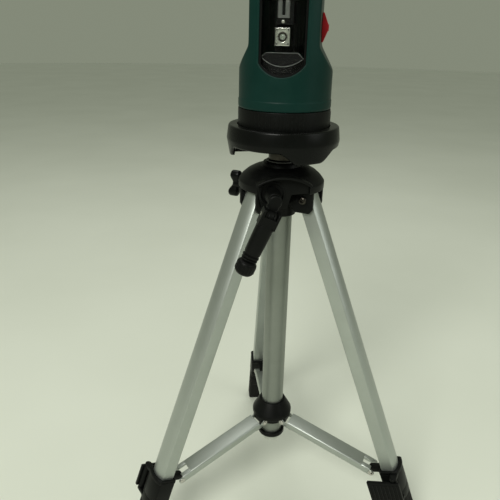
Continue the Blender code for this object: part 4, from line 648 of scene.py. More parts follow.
def domed_heads_tool():
    """Rivet heads on the host's points, standing along each point's axis: a flange with a dome on it."""
    sockets = [("Geometry", "g"), ("Head Radius", "f"), ("Head Height", "f"), ("Material", "m")]
    tree, start, end = node_tool("domed_heads", sockets)
    wide, tall = start.outputs["Head Radius"], start.outputs["Head Height"]
    flange = node(tree, "GeometryNodeMeshCylinder", {"Vertices": 24, "Radius": wide, "Depth": tall})
    ball = node(tree, "GeometryNodeMeshUVSphere", {"Segments": 24, "Rings": 12, "Radius": 1.0})
    slim = times(tree, wide, 0.86)
    size = node(tree, "ShaderNodeCombineXYZ", {"X": slim, "Y": slim, "Z": tall})
    dome = node(tree, "GeometryNodeTransform", {"Geometry": ball.outputs[0], "Scale": size.outputs[0]})
    head = node(tree, "GeometryNodeJoinGeometry")
    for part in (flange, dome):
        tree.links.new(part.outputs[0], head.inputs[0])
    axis = node(tree, "GeometryNodeInputNamedAttribute", {"Name": "axis"}, data_type="FLOAT_VECTOR")
    way = node(tree, "FunctionNodeAlignRotationToVector", {"Vector": axis.outputs[0]}, axis="Z")
    links = {"Points": start.outputs["Geometry"], "Instance": head.outputs[0], "Rotation": way.outputs[0]}
    return close_tool(tree, start, end, node(tree, "GeometryNodeInstanceOnPoints", links).outputs[0])


RIBS_IN_LINE = ribs_in_line_tool()
RIBS_ON_ARC = ribs_on_arc_tool()
DOMED_HEADS = domed_heads_tool()


def grown(tool, values, mat, place=None, points=()):
    """The mesh that a geometry tree makes from named values, on points of (place, axis) if it needs them."""
    host = bpy.data.meshes.new("host")
    host.from_pydata([p for p, _ in points], [], [])
    axis = host.attributes.new("axis", "FLOAT_VECTOR", "POINT")
    for slot, (_, way) in zip(axis.data, points):
        slot.vector = way
    holder = shown("holder", host)
    change = holder.modifiers.new("tool", "NODES")
    change.node_group = tool
    for item in tool.interface.items_tree:
        if item.in_out == "INPUT" and item.name in values:
            change[item.identifier] = values[item.name]
        elif item.in_out == "INPUT" and item.name == "Material":
            change[item.identifier] = mat
    bm = as_built(holder)
    bpy.data.objects.remove(holder)
    return finished("grown", bm, mat, place)


def rivets(points, radius, height, mat, place=None):
    """Domed heads on points of (place, axis); radius and height in millimetres."""
    values = {"Head Radius": radius * MM, "Head Height": height * MM}
    return grown(DOMED_HEADS, values, mat, place, points)


def upright_ribs(count, radius, turns, heights, thick, mat, place=None):
    """Ribs about Z from a start over a sweep, between two heights; radius and thickness in millimetres."""
    values = {"Count": count, "Circle Radius": radius * MM, "Start Angle": turns[0], "Sweep": turns[1]}
    for label, height in zip(("Bottom", "Top"), heights):
        values[label] = (0.0, 0.0, height)
    return grown(RIBS_ON_ARC, {**values, "Rib Radius": thick * MM}, mat, place)


# Places


def hinge_place(name, radius, height, tilt):
    """From axes (out, side, up) at a hinge on a leg's side of the column, tilted, to the world."""
    yaw = math.radians(LEGS[name])
    hinge = Vector((radius * math.cos(yaw), radius * math.sin(yaw), height))
    return Matrix.Translation(hinge) @ Matrix.Rotation(yaw, 4, "Z") @ Matrix.Rotation(tilt, 4, "Y")


HEAD_PLACE = Matrix.Rotation(HEAD_YAW, 4, "Z")
CRANK_PLACE = Matrix.Translation((CRANK_X, 0, CRANK_Z)) @ Matrix.Rotation(CRANK_REST, 4, "Y")
LOCK_PLACE = Matrix.Translation((0, 0, LOCK_HEIGHT)) @ Matrix.Rotation(math.radians(LOCK_AZIMUTH), 4, "Z")


# Legs


def leg_section(grow, soft, inner=None):
    """The leg's outline, flat inside and crowned outside, grown or shrunk, with soft corners."""
    half = LEG_WIDTH / 2 + grow
    side = LEG_SIDE / 2 + grow
    radius = (half * half + LEG_CROWN * LEG_CROWN) / (2 * LEG_CROWN)
    steps = 14
    crown = []
    for i in range(steps + 1):
        y = -half + 2 * half * i / steps
        crown.append((side + math.sqrt(radius * radius - y * y) - (radius - LEG_CROWN), y))
    back = -min(side, inner or side)
    points = [(back, -half), *crown, (back, half)]
    radii = [soft, soft, *[0.0] * (steps - 1), soft, soft]
    return rounded(points, radii)


def dress_leg(name):
    place = hinge_place(name, HINGE_RADIUS, HINGE_HEIGHT, -LEG_ANGLE)
    walls = [leg_section(0, 1.0 * MM), leg_section(-LEG_WALL, 0.6 * MM)]
    tube = slab(walls, TUBE_BOTTOM, LEG_TOP, ANODISED, place, edge=0.25 * MM)
    piece(f"anodised_leg_{name}", [tube], f"leg_{name}", [f"leg_tube_{name}"])
    dress_housing(name, place)
    dress_lever(name, place)
    dress_lower_leg(name, place)


def dress_housing(name, place):
    """The lock's housing: a collar with a proud band, the brace's lug and two ears for the lever."""
    wall = leg_section(HOUSING_WALL, 2.2 * MM, HOUSING_INNER)
    seat, throat = leg_section(GAP, 1.0 * MM), leg_section(-LEG_WALL, 0.6 * MM)
    band = leg_section(HOUSING_WALL + 0.7 * MM, 2.6 * MM, HOUSING_INNER + 0.1 * MM)
    band = [(x, max(-13.9 * MM, min(13.9 * MM, y))) for x, y in band]
    lug = [(-6.9 * MM, -LUG_RADIUS - 1.6 * MM), (-6.9 * MM, LUG_RADIUS + 1.2 * MM), (-10.5 * MM, LUG_RADIUS)]
    lug += [*arc((-LUG_REACH, 0), LUG_RADIUS, 90, 270, 12), (-10.5 * MM, -LUG_RADIUS)]
    lie = Matrix.Translation((0, 0, -LUG_DROP)) @ FACING_Y
    parts = [
        slab([wall, seat], TUBE_BOTTOM, RIM_Z, BLACK, place, edge=0.8 * MM),
        slab([wall, throat], HOUSING_BOTTOM, TUBE_BOTTOM + 0.5 * MM, BLACK, place, edge=0.35 * MM),
        slab([band, seat], RIM_Z - 4.6 * MM, RIM_Z - 0.6 * MM, BLACK, place, edge=0.7 * MM),
        slab([lug], -LUG_WIDTH / 2, LUG_WIDTH / 2, BLACK, place, lie, 0.7 * MM)
    ]
    near, far = LEVER_HINGE_OUT - LEVER_KNUCKLE - 0.5 * MM, LEVER_HINGE_OUT + LEVER_KNUCKLE
    ear = arc((LEVER_HINGE_OUT, -LEVER_HINGE_SIDE), LEVER_KNUCKLE, 180, 360, 12)
    ear = [(near, -10.8 * MM), *ear, (far, -10.8 * MM)]
    for level in (LEVER_TOP, LEVER_BOTTOM - EAR_HEIGHT - GAP):
        parts.append(slab([ear], level + GAP, level + EAR_HEIGHT, BLACK, place, edge=0.6 * MM))
    piece(f"lock_collar_{name}", parts, f"leg_{name}", [f"lock_housing_{name}"])


def dress_lever(name, place):
    hinge = place @ Matrix.Translation((LEVER_HINGE_OUT, -LEVER_HINGE_SIDE, 0))
    top, low, face = LEVER_TOP - GAP, LEVER_BOTTOM, LEVER_FACE + 0.7 * MM
    knuckle = [(0.0, top), (LEVER_KNUCKLE, top), (LEVER_KNUCKLE, low), (0.0, low)]
    panel = [(LEVER_IN, face), (LEVER_OUT, face), (LEVER_OUT, LEVER_BACK - GAP), (LEVER_IN, LEVER_BACK)]
    pin, pin_top, pin_low = 1.7 * MM, LEVER_TOP + 2.8 * MM, low - 2.8 * MM
    parts = [
        turned(knuckle, BLACK, hinge, 24),
        slab([rounded(panel, 0.9 * MM)], low, top, BLACK, hinge, edge=0.8 * MM),
        turned([(0.0, pin_top), (pin, pin_top), (pin, pin_low), (0.0, pin_low)], STEEL, hinge, 20)
    ]
    across, proud = LEVER_IN + 2.6 * MM, LEVER_FACE + 0.9 * MM
    ribs = {
        "Count": 8, "Step": (4.4 * MM, 0.0, 0.0), "Rib Start": (across, proud, low + 1.2 * MM),
        "Rib End": (across, proud, LEVER_TOP - 3.4 * MM), "Rib Radius": 0.9 * MM
    }
    parts.append(grown(RIBS_IN_LINE, ribs, BLACK, hinge))
    piece(f"flip_lever_{name}", parts, f"lever_{name}", [f"lock_lever_{name}"])


def dress_lower_leg(name, place):
    walls = [leg_section(-1.8 * MM, 0.8 * MM), leg_section(-3.0 * MM, 0.5 * MM)]
    top = INNER_BOTTOM + INNER_LENGTH
    inner = slab(walls, INNER_BOTTOM, top, ANODISED, place, edge=0.2 * MM)
    piece(f"sliding_leg_{name}", [inner], f"lower_leg_{name}", [f"leg_inner_{name}"])
    outline, small = leg_section(2.5 * MM, 2.4 * MM), leg_section(1.6 * MM, 2.0 * MM)
    slope, level = math.sin(LEG_ANGLE), math.cos(LEG_ANGLE)

    def ring(section, below):
        return [(x, y, FOOT_TOP - below * MM) for x, y in section]

    def sole(long, wide, lift):
        """The outline shrunk and laid level with the floor, at a height over it."""
        points = [(x * long, y * wide) for x, y in outline]
        return [(x, y, (lift - HINGE_HEIGHT - x * slope) / level) for x, y in points]

    rings = [ring(leg_section(-1.6 * MM, 0.7 * MM), 0.0), ring(leg_section(1.7 * MM, 2.0 * MM), 0.0)]
    rings.append(ring(outline, 0.9))
    for groove in (7.0, 14.0, 21.0):
        for section, below in ((outline, 0.0), (small, 0.7), (small, 2.0), (outline, 2.7)):
            rings.append(ring(section, groove + below))
    rings += [sole(1.0, 1.0, 1.6 * MM), sole(0.985, 0.975, 0.4 * MM), sole(0.94, 0.93, 0.0)]
    boot = loft(list(reversed(rings)), RUBBER, place)
    piece(f"rubber_boot_{name}", [boot], f"lower_leg_{name}", [f"foot_{name}"])


# Braces and sliding hub


def dress_brace(name):
    place = hinge_place(name, HUB_PIVOT, HUB_HEIGHT, BRACE_SLOPE)
    drawn = FACING_X.transposed()
    half, wall, rise, low = BRACE_HALF, BRACE_WALL, BRACE_RISE, -BRACE_EAR
    inside = half - wall
    channel = [(-half, low), (-half, rise), (half, rise), (half, low)]
    channel += [(inside, low), (inside, rise - wall), (-inside, rise - wall), (-inside, low)]
    channel = rounded(channel, mm([0.4, 1.9, 1.9, 0.4, 0.4, 0.7, 0.7, 0.4]))
    parts = [slab([channel], BRACE_WEB[0], BRACE_SLOT, ANODISED, place, FACING_X, 0.2 * MM, drawn)]
    slot, start, reach = LUG_WIDTH / 2 + 0.7 * MM, BRACE_SLOT - 0.2 * MM, 13.0 * MM
    ear, skin = BRACE_EAR - 0.05 * MM, 0.03 * MM
    for side in (-1, 1):
        angle = [(slot, rise), (half, rise), (half, low), (inside, low)]
        angle = [(side * u, v) for u, v in [*angle, (inside, rise - wall), (slot, rise - wall)]]
        angle = rounded(angle, mm([0.3, 1.9, 0.4, 0.4, 0.7, 0.3]))
        parts.append(slab([angle], start, BRACE_WEB[1], ANODISED, place, FACING_X, 0.2 * MM, drawn))
        near, far = sorted((-side * (inside - skin), -side * (half - skin)))
        inner = [*arc((0, 0), ear, 90, 270, 16), (reach, ear), (reach, -ear)]
        hole = arc((0, 0), 1.9 * MM, 0, 345, 15)
        tip = BRACE_LENGTH - reach
        outer = [*arc((BRACE_LENGTH, 0), ear, -90, 90, 16), (tip, ear), (tip, -ear)]
        for loops in ([inner, hole], [outer]):
            parts.append(slab(loops, near, far, ANODISED, place, FACING_Y, 0.2 * MM, drawn))
    heads = [((BRACE_LENGTH, s * half, 0.0), (0.0, s, 0.0)) for s in (-1.0, 1.0)]
    parts.append(rivets(heads, 2.9, 1.2, STEEL, place))
    piece(f"brace_channel_{name}", parts, f"brace_{name}", [f"brace_{name}"])


def dress_hub():
    lift = Matrix.Translation((0, 0, HUB_HEIGHT))
    cone = [(15.0, 24.6), (23.0, 10.6), (23.0, 5.6), (16.2, 4.6), (15.6, -3.6), (13.0, -3.6), (13.0, 24.6)]
    parts = [turned_ring(cone, [0.8, 2.2, 1.2, 0.8, 0.6, 0.3, 0.3], BLACK, lift)]
    nose = HUB_PIVOT + BRACE_EAR
    block = [(14.0 * MM, -3.3 * MM), (HUB_PIVOT, -BRACE_EAR - GAP), (nose, -BRACE_EAR / 2)]
    block = rounded([*block, (nose, 6.6 * MM), (14.0 * MM, 6.6 * MM)], mm([0.2, 1.6, 1.6, 0.8, 0.2]))
    shaft = mm([(0.0, 10.0), (1.6, 10.0), (1.6, -10.0), (0.0, -10.0)])
    lay = Matrix.Translation((HUB_PIVOT, 0, 0)) @ Matrix.Rotation(math.radians(-90), 4, "X")
    pins = []
    for azimuth in LEGS.values():
        seat = lift @ Matrix.Rotation(math.radians(azimuth), 4, "Z")
        parts.append(slab([block], -8.2 * MM, 8.2 * MM, BLACK, seat, FACING_Y, 0.6 * MM))
        pins.append(turned(shaft, STEEL, seat @ lay, 20))
        for side in (-1.0, 1.0):
            at = seat @ Vector((HUB_PIVOT, side * (BRACE_HALF + GAP), 0.0))
            pins.append(rivets([(at, seat.to_3x3() @ Vector((0.0, side, 0.0)))], 2.9, 1.15, STEEL))
    piece("sliding_hub", parts, "hub", ["brace_hub"])
    piece("hub_rivets", pins, "hub", [f"hub_rivet_{name}" for name in LEGS])


# Column


def dress_column():
    bore = 11.3 * MM
    tube = [(GUIDE_RADIUS, GUIDE_TOP), (GUIDE_RADIUS, GUIDE_BOTTOM), (bore, GUIDE_BOTTOM), (bore, GUIDE_TOP)]
    # Painted shade: the guide tube takes the darkened aluminium.
    tube = turned(rounded(tube, 0.3 * MM), SHADED_TUBE_ALUMINIUM, None, 96, True)
    piece("anodised_guide_tube", [tube], "frame", ["guide_tube"])
    ring = [(15.6, 92.7), (15.6, 86.7), (11.3, 86.7), (11.3, 88.7), (12.8, 88.7), (12.8, 92.7)]
    ring = turned_ring(ring, [1.0, 1.4, 0.5, 0.2, 0.2, 0.5], BLACK)
    piece("end_ring", [ring], "frame", ["tube_end_ring"])
    flange = [(15.5, 424.9), (15.5, 423.3), (12.2, 423.3), (12.2, 411.0), (10.0, 411.0), (10.0, 424.9)]
    flange = turned_ring(flange, [0.6, 0.4, 0.2, 0.4, 0.2, 0.5], ZINC)
    piece("column_bushing", [flange], "frame", ["column_bush"])
    plug = mm([(0.0, 432.6), (13.5, 432.6), (13.5, 425.2), (9.8, 425.2), (9.8, 430.0), (0.0, 430.0)])
    # Painted shade: the plug and its knurl under the dish take the darkened steel.
    plug = turned(rounded(plug, mm([0, 0.7, 0.8, 0.3, 0.2, 0]), False), SHADE_DARKENED_STEEL, None, 72)
    knurl = upright_ribs(60, 13.05, (0.0, 2 * math.pi * 59 / 60), mm([426.2, 431.6]), 0.45, SHADE_DARKENED_STEEL)
    piece("knurled_column_head", [plug, knurl], "column", ["column_head"])


def dress_dish():
    """The three-footed base: a bowl whose lower lip rises into an arch between each two feet."""
    feet = [math.radians(-67.7 + 120 * i) for i in range(3)]
    turns = full_turn(240)
    foot_height, arch_rise = 430.0, 10.5
    arch_start, arch_end = math.radians(13.0), math.radians(34.0)
    waist, pad_height = 445.4 * MM, 1.0 * MM
    rings = []

    def lip(turn):
        """Height of the lower lip: low over a foot, high in an arch."""
        near = min(abs((turn - f + math.pi) % (2 * math.pi) - math.pi) for f in feet)
        share = min(1.0, max(0.0, (near - arch_start) / (arch_end - arch_start)))
        return (foot_height + arch_rise * (share * share * (3 - 2 * share))) * MM

    def wall_radius(height):
        """The outer wall draws in by 3 mm over the 16 mm below its widest place."""
        share = (446.0 * MM - height) / (16.0 * MM)
        return (55.0 - 3.0 * share) * MM

    def ring(rule):
        """A ring of points from a rule that gives the radius and the height at a turn."""
        spots = [(t, *rule(t)) for t in turns]
        rings.append([(r * math.cos(t), r * math.sin(t), z) for t, r, z in spots])

    def wall(turn, share):
        """A place on the outer wall, a share of the way from the waist to just over the lip."""
        height = waist + (lip(turn) + 1.2 * MM - waist) * share
        return wall_radius(height), height

    def edge(turn, inset, rise, least=0.0):
        """A place at the lip, set in from the wall and raised."""
        return wall_radius(lip(turn)) - inset * MM, max(lip(turn) + rise * MM, least)

    outer = [(45.2, 459.3), (51.6, 459.3), (52.7, 459.1), (53.4, 458.4), (53.7, 457.4), (54.4, 452.0)]
    for point in mm([*outer, (55.0, 447.0), (54.9, 445.4)]):
        ring(lambda t, p=point: p)
    for share in (0.3, 0.6, 0.85, 1.0):
        ring(lambda t, s=share: wall(t, s))
    for inset, rise in ((0.35, 0.35), (1.2, 0.0), (3.4, 0.0), (4.0, 0.5)):
        ring(lambda t, i=inset, r=rise: edge(t, i, r))
    ring(lambda t: edge(t, 4.6, 1.4, 441.5 * MM))
    inner = [(49.6, 445.2), (48.8, 446.0), (18.6, 446.0), (17.6, 445.2), (16.2, 433.4), (15.6, 432.9)]
    inner += [(8.9, 432.9), (8.9, 435.8), (5.1, 435.8), (5.1, 451.6), (5.6, 452.0), (44.8, 452.0)]
    for point in mm([*inner, (45.2, 452.4), (45.2, 458.9)]):
        ring(lambda t, p=point: p)
    parts = [loft(rings, GLOSS_BLACK, None, True)]
    pads = []
    pad = mm([(46.2, -13.0), (49.8, -12.4), (51.2, 0.0), (49.8, 12.4), (46.2, 13.0), (47.4, 0.0)])
    rib = mm([(20.0, 434.0), (34.0, 431.4), (48.0, 430.7), (48.0, 447.0), (17.0, 447.0)])
    for foot in feet:
        seat = Matrix.Rotation(foot, 4, "Z")
        outline = rounded(pad, 1.2 * MM)
        low = foot_height * MM
        pads.append(slab([outline], low, low + pad_height, RUBBER, seat, edge=0.2 * MM))
        outline = rounded(rib, 1.0 * MM)
        parts.append(slab([outline], -1.1 * MM, 1.1 * MM, GLOSS_BLACK, seat, FACING_Y, 0.4 * MM))
    piece("three_footed_dish", parts, "column", ["base_dish"])
    piece("dish_foot_pads", pads, "column")


# Shoulder, crank and lock


def dress_shoulder():
    skin = [
        (12.6, 419.5), (22.0, 419.5), (28.0, 417.6), (34.3, 414.2), (39.4, 409.8), (43.0, 405.0),
        (43.0, 398.0), (40.4, 398.0), (40.2, 402.4), (36.0, 407.0), (18.0, 409.0), (16.5, 404.0),
        (16.0, 369.0), (12.8, 369.0), (12.8, 384.4), (11.9, 384.4), (11.9, 409.6), (12.6, 410.0)
    ]
    radii = [0.3, 2.0, 6.0, 9.0, 9.0, 1.4, 0.8, 0.8, 2.0, 2.0, 1.0, 1.0, 1.2, 0.4, 0.3, 0.3, 0.2, 0.2]
    dome = turned_ring(skin, radii, BLACK, None, 96)
    recess = [*brow_arch(BROW_RADIUS + 1.2 * MM, 57, 123, 24), *mm([(-27.0, 380.0), (23.2, 380.0)])]
    parts = [carve(dome, slab([recess], 33.5 * MM, 60.0 * MM, BLACK, None, FACING_Y, 0.0))]
    boss = [(12.6, 423.0), (18.5, 423.0), (20.6, 417.0), (12.6, 417.0)]
    parts.append(turned_ring(boss, [0.3, 1.0, 0.2, 0.2], BLACK, None, 96))
    slot, cheek = 11.6 * MM, 15.4 * MM
    ear = [(14.0, 406.0), (14.0, 383.0), (22.0, 377.0), (37.0, 377.0), (40.0, 382.0), (40.0, 403.0)]
    ear = rounded(mm([*ear, (36.0, 406.0)]), mm([0.5, 2.0, 2.0, 2.4, 2.4, 1.0, 1.0]))
    eye = arc((HINGE_RADIUS, HINGE_HEIGHT), 2.4 * MM, 0, 340, 17)
    for azimuth in LEGS.values():
        seat = Matrix.Rotation(math.radians(azimuth), 4, "Z")
        parts += pair([ear, eye], slot, cheek, seat, FACING_Y, 0.8 * MM)
    parts += shoulder_front()
    piece("shoulder_casting", parts, "frame", ["shoulder"])
    dress_pivot_screws(cheek)


def brow_arch(radius, start, end, count=32):
    """Part of the brow's wide arch over the crank, in degrees about its low centre."""
    return arc((BROW_X, BROW_Z), radius, start, end, count)


def shoulder_front():
    """The brow over the crank, the recess wall behind it, the crank's boss and the lock's boss."""
    lip = [*brow_arch(BROW_RADIUS + 2.4 * MM, 56, 124), *brow_arch(BROW_RADIUS, 124, 56)]
    parts = [slab([lip], 27.0 * MM, 41.6 * MM, BLACK, None, FACING_Y, 0.7 * MM)]
    foot = mm([(-25.5, 396.0), (-22.0, 384.0), (2.0, 384.0), (6.0, 397.5), (22.5, 399.0)])
    wall = [*brow_arch(BROW_RADIUS + 1.0 * MM, 57, 123), *foot]
    parts.append(slab([wall], 22.0 * MM, 34.2 * MM, BLACK, None, FACING_Y, 0.6 * MM))
    aim = Matrix.Translation((CRANK_X, 0, CRANK_Z)) @ ABOUT_X
    boss = [(2.5, 38.5), (7.5, 38.5), (7.5, 20.0), (2.5, 20.0)]
    collar = [(10.6, 36.4), (12.2, 36.4), (12.2, 30.0), (10.6, 30.0)]
    lock = [(1.9, 44.0), (6.0, 44.0), (6.0, 16.0), (1.9, 16.0)]
    parts.append(turned_ring(boss, [0.3, 0.8, 0.2, 0.2], BLACK, aim, 48))
    parts.append(turned_ring(collar, [0.5, 0.5, 0.2, 0.2], BLACK, aim, 64))
    parts.append(turned_ring(lock, [0.3, 0.9, 0.2, 0.2], BLACK, LOCK_PLACE @ ABOUT_Y, 40))
    return parts


def dress_pivot_screws(cheek):
    """Button-head screws with a hexagonal socket, across the leg's hinge."""
    start, end, shank = cheek + GAP, -cheek - 2.2 * MM, 2.1 * MM
    turns = (0.55, 0.75, 1.0, 1.25, 1.45, math.pi / 2)
    dome = [(4.2 * MM * math.sin(a), start + 2.4 * MM * math.cos(a)) for a in turns]
    socket = hexagon(1.75 * MM)
    profile = [(0.0, start + 0.6 * MM), (socket, start + 0.6 * MM), (socket, start + 1.95 * MM), *dome]
    profile += [(shank, start), (shank, end + 0.4 * MM), (1.7 * MM, end), (0.0, end)]
    lay = Matrix.Translation((HINGE_RADIUS, 0, HINGE_HEIGHT)) @ ABOUT_X
    seats = [Matrix.Rotation(math.radians(azimuth), 4, "Z") for azimuth in LEGS.values()]
    # The screws take the steel darkened as painted shade.
    screws = [turned(profile, SHADE_DARKENED_STEEL, seat @ lay, 48) for seat in seats]
    piece("pivot_screws", screws, "frame", [f"leg_pivot_screw_{name}" for name in LEGS])


def dress_crank():
    disc = [(2.35, 39.0), (7.6, 39.0), (8.0, 39.6), (6.6, 57.0), (2.35, 57.0)]
    parts = [turned_ring(disc, [0.2, 0.4, 0.6, 0.8, 0.2], BLACK, CRANK_PLACE @ ABOUT_X, 48)]
    end = mm([(-5.5, -7.5), (-5.5, -10.0), (5.5, -10.0), (5.5, -7.5)])
    arm = [*arc((0, 0), 6.3 * MM, -30, 210, 20), *end]
    arm = rounded(arm, [0.0] * 21 + mm([2.0, 0.5, 0.5, 2.0]))
    parts.append(slab([arm], 56.2 * MM, 63.0 * MM, BLACK, CRANK_PLACE, FACING_Y, 1.6 * MM, steps=3))
    tine = [(-72.5, -18.5), (-56.2, -18.5), (-56.2, -5.0), (-61.0, -3.5), (-63.5, -7.4), (-72.5, -8.6)]
    tine = rounded(mm(tine), mm([5.4, 2.5, 1.5, 1.5, 1.0, 4.2]))
    eye = arc((GRIP_Y, -ARM_LENGTH), 1.9 * MM, 0, 340, 17)
    parts += pair([tine, eye], 3.0 * MM, 5.5 * MM, CRANK_PLACE, FACING_X, 0.7 * MM)
    piece("crank_lever", parts, "crank", ["crank_arm"])
    hinge = CRANK_PLACE @ Matrix.Translation((0, GRIP_Y, -ARM_LENGTH))
    pin = mm([(0.0, 5.3), (1.2, 5.3), (1.6, 4.9), (1.6, -4.9), (1.2, -5.3), (0.0, -5.3)])
    pin = turned(pin, STEEL, hinge @ ABOUT_Y, 24)
    piece("crank_fork_pin", [pin], "crank", ["crank_hinge_pin"])
    dress_grip(hinge)


def squarish(width, depth, height, power=2.6, count=56):
    """A ring of points on a soft-cornered oval."""
    ring = []
    for t in full_turn(count):
        c, s = (math.copysign(abs(v) ** (2 / power), v) for v in (math.cos(t), math.sin(t)))
        ring.append((width * c, depth * s, height))
    return ring


def dress_grip(place):
    """The fold-out grip: a soft-cornered sleeve with two cheeks about the arm's fork, rings and a knob."""
    start, end = -6.3 * MM, -46.3 * MM
    wide, deep = 8.5 * MM, 7.6 * MM
    rows = [
        (0.88, 0.0), (0.97, 0.5), (1.0, 1.4), (0.98, 6.0), (0.95, 22.0), (0.92, 31.6), (0.89, 32.4),
        (0.78, 32.8), (0.76, 33.4), (0.76, 34.2), (0.93, 34.6), (0.95, 35.4), (0.91, 36.3), (0.76, 36.7),
        (0.74, 37.4), (0.90, 37.9), (0.92, 38.7), (0.86, 39.5), (0.64, 40.0)
    ]
    rings = [squarish(wide * s, deep * s, start - d * MM) for s, d in rows]
    parts = [loft(list(reversed(rings)), BLACK, place)]
    eye = 5.2 * MM
    tongue = [(-eye, start - 2 * MM), (eye, start - 2 * MM), *arc((0, 0), eye, 0, 180, 18)]
    hole = arc((0, 0), 1.9 * MM, 0, 340, 17)
    parts.append(slab([tongue, hole], -2.7 * MM, 2.7 * MM, BLACK, place, FACING_X, 0.6 * MM))
    cheek = rounded(mm([(-7.2, -10.0), (7.2, -10.0), (7.2, 6.4), (-7.2, 6.4)]), mm([0.8, 0.8, 2.2, 2.2]))
    parts += pair([cheek], 5.9 * MM, wide, place, FACING_X, 0.7 * MM, 3)
    cup = [*arc((0, 0), 6.0 * MM, 180, 258, 14), *mm([(-1.25, -8.0), (-7.4, -8.0), (-7.4, -0.4)])]
    parts.append(slab([cup], -6.2 * MM, 6.2 * MM, BLACK, place, FACING_X, 0.25 * MM))
    ends = [((side * wide, 0.0, 0.0), (side, 0.0, 0.0)) for side in (-1.0, 1.0)]
    parts.append(rivets(ends, 1.9, 0.7, STEEL, place))
    piece("crank_grip_sleeve", parts, "grip", ["crank_grip"])
    top = end - GAP
    knob = [(0.0, 0.0), (6.6, 0.0), (9.2, -1.8), (9.6, -4.0), (9.5, -9.0), (9.0, -12.0), (7.0, -14.1)]
    knob = [(r, top + z) for r, z in mm([*knob, (3.0, -14.5), (0.0, -14.5)])]
    knob = rounded(knob, mm([0, 1.0, 2.0, 3.0, 3.0, 3.0, 2.0, 3.0, 0]), False)
    parts = [turned(knob, BLACK, place, 64)]
    heights = (top - 10.6 * MM, top - 3.4 * MM)
    parts.append(upright_ribs(18, 9.0, (0.0, 2 * math.pi * 17 / 18), heights, 0.85, BLACK, place))
    piece("crank_end_knob", parts, "grip", ["grip_knob"])


def dress_lock():
    """A wing nut: two rounded wings that flare away from a narrow waist."""
    rings = []
    steps, tip, shoulder, thick = 28, 13.9, 8.8, 5.2
    for i in range(steps + 1):
        high = math.sin(math.pi * (i / steps - 0.5)) * tip
        round_end = math.sqrt(max(0.02, 1.0 - (max(abs(high) - shoulder, 0.0) / thick) ** 2))
        narrow = math.cos(min(abs(high) / shoulder, 1.0) * math.pi / 2) ** 2
        half = (thick - 2.0 * narrow) * round_end
        shift = 1.2 * math.tanh(-high / 4.0)
        near, far = 46.4 + shift + 0.8 * narrow, 58.2 + shift - 4.0 * narrow
        middle, reach = (near + far) / 2, (far - near) / 2 * (0.55 + 0.45 * round_end)
        oval = squarish(reach * MM, half * MM, high * MM, 3.2, 40)
        rings.append([(middle * MM + x, y, z) for x, y, z in oval])
    neck = [(1.75, 53.4), (4.0, 53.4), (4.4, 52.6), (4.8, 46.0), (4.4, 45.0), (1.75, 45.0)]
    parts = [loft(rings, GLOSS_BLACK, LOCK_PLACE)]
    parts.append(turned_ring(neck, [0.4] * 6, GLOSS_BLACK, LOCK_PLACE @ ABOUT_Y, 40))
    piece("wing_nut", parts, "lock", ["wing_knob"])


# Laser head


def flat_side(z):
    """Distance of the pillar's flat sides from the axis; they slant out over the drum."""
    slope = (DRUM_TOP_RADIUS - PILLAR_HALF) / (SHOULDER_HIGH - SHOULDER_LOW)
    slant = PILLAR_HALF + (SHOULDER_HIGH - z) * slope
    soft = 1.2 * MM
    return 0.5 * (slant + PILLAR_HALF + math.sqrt((slant - PILLAR_HALF) ** 2 + soft**2))


def drum_radius(z):
    """The drum's own radius: a proud band at its foot, rolled in at the bottom edge."""
    taper, step, proud = 26.0 * MM, 1.0 * MM, 0.45 * MM
    roll, roll_height, roll_top = 1.1 * MM, 2.5 * MM, 478.0 * MM
    plain = DRUM_TOP_RADIUS + max(0.0, min(1.0, (SHOULDER_LOW - z) / taper)) * 0.15 * MM
    share = max(0.0, min(1.0, (BAND_TOP - z) / step))
    low = max(0.0, (roll_top - z) / roll_height)
    band = share * share * (3 - 2 * share) * proud
    return plain + band - roll * (1 - math.sqrt(max(0.0, 1 - low * low)))


def casing_radius(turn, z, inset=0.0):
    """The casing's outline at one height: the drum clipped by its flat sides, with soft corners."""
    power = 90.0
    drum = drum_radius(z) - inset
    flat = (flat_side(z) - inset) / max(abs(math.cos(turn)), 1e-3)
    return (drum**-power + flat**-power) ** (-1.0 / power)


def casing_levels():
    levels = [SHELL_BOTTOM + i * 0.25 * MM for i in range(11)]
    levels += [(479.0 + i) * MM for i in range(5)]
    levels += [(483.2 + 0.1 * i) * MM for i in range(11)]
    levels += [(486.0 + 2.0 * i) * MM for i in range(11)]
    levels += [(507.5 + 0.75 * i) * MM for i in range(12)]
    levels += [(517.0 + 1.0 * i) * MM for i in range(20)]
    levels += [(538.0 + 4.0 * i) * MM for i in range(15)]
    return [*levels, SHELL_TOP]


def casing_half(side):
    """A closed half of the casing, front or rear, with a seam towards the other half."""
    count = 120
    turns = [-side * math.pi * i / count for i in range(count + 1)]
    bm = bmesh.new()

    def row(z, inset):
        spots = [(t, casing_radius(t, z, inset)) for t in turns]
        points = [[r * math.cos(t), r * math.sin(t), z] for t, r in spots]
        for point in (points[0], points[-1]):
            point[1] = -side * GAP / 2
        return [bm.verts.new(point) for point in points]

    close_panel(bm, *([row(z, inset) for z in casing_levels()] for inset in (0.0, SHELL_WALL)))
    return finished("casing_half", bm, GREEN)


def bow_height(x, half, height, rise):
    """Height at x of a bow that rises, or sinks, between its two ends."""
    radius = (half * half + rise * rise) / (2 * abs(rise))
    way = math.copysign(1.0, rise)
    return height + rise - way * (radius - math.sqrt(max(0.0, radius * radius - x * x)))


def window_edges(x, shrink):
    """The window's lower and upper edge at x, drawn in by shrink."""
    half = WINDOW_HALF - shrink
    low = bow_height(x, half, WINDOW_SPRING, WINDOW_BOTTOM + shrink - WINDOW_SPRING)
    return low, bow_height(x, half, WINDOW_TOP_SPRING, WINDOW_TOP - shrink - WINDOW_TOP_SPRING)


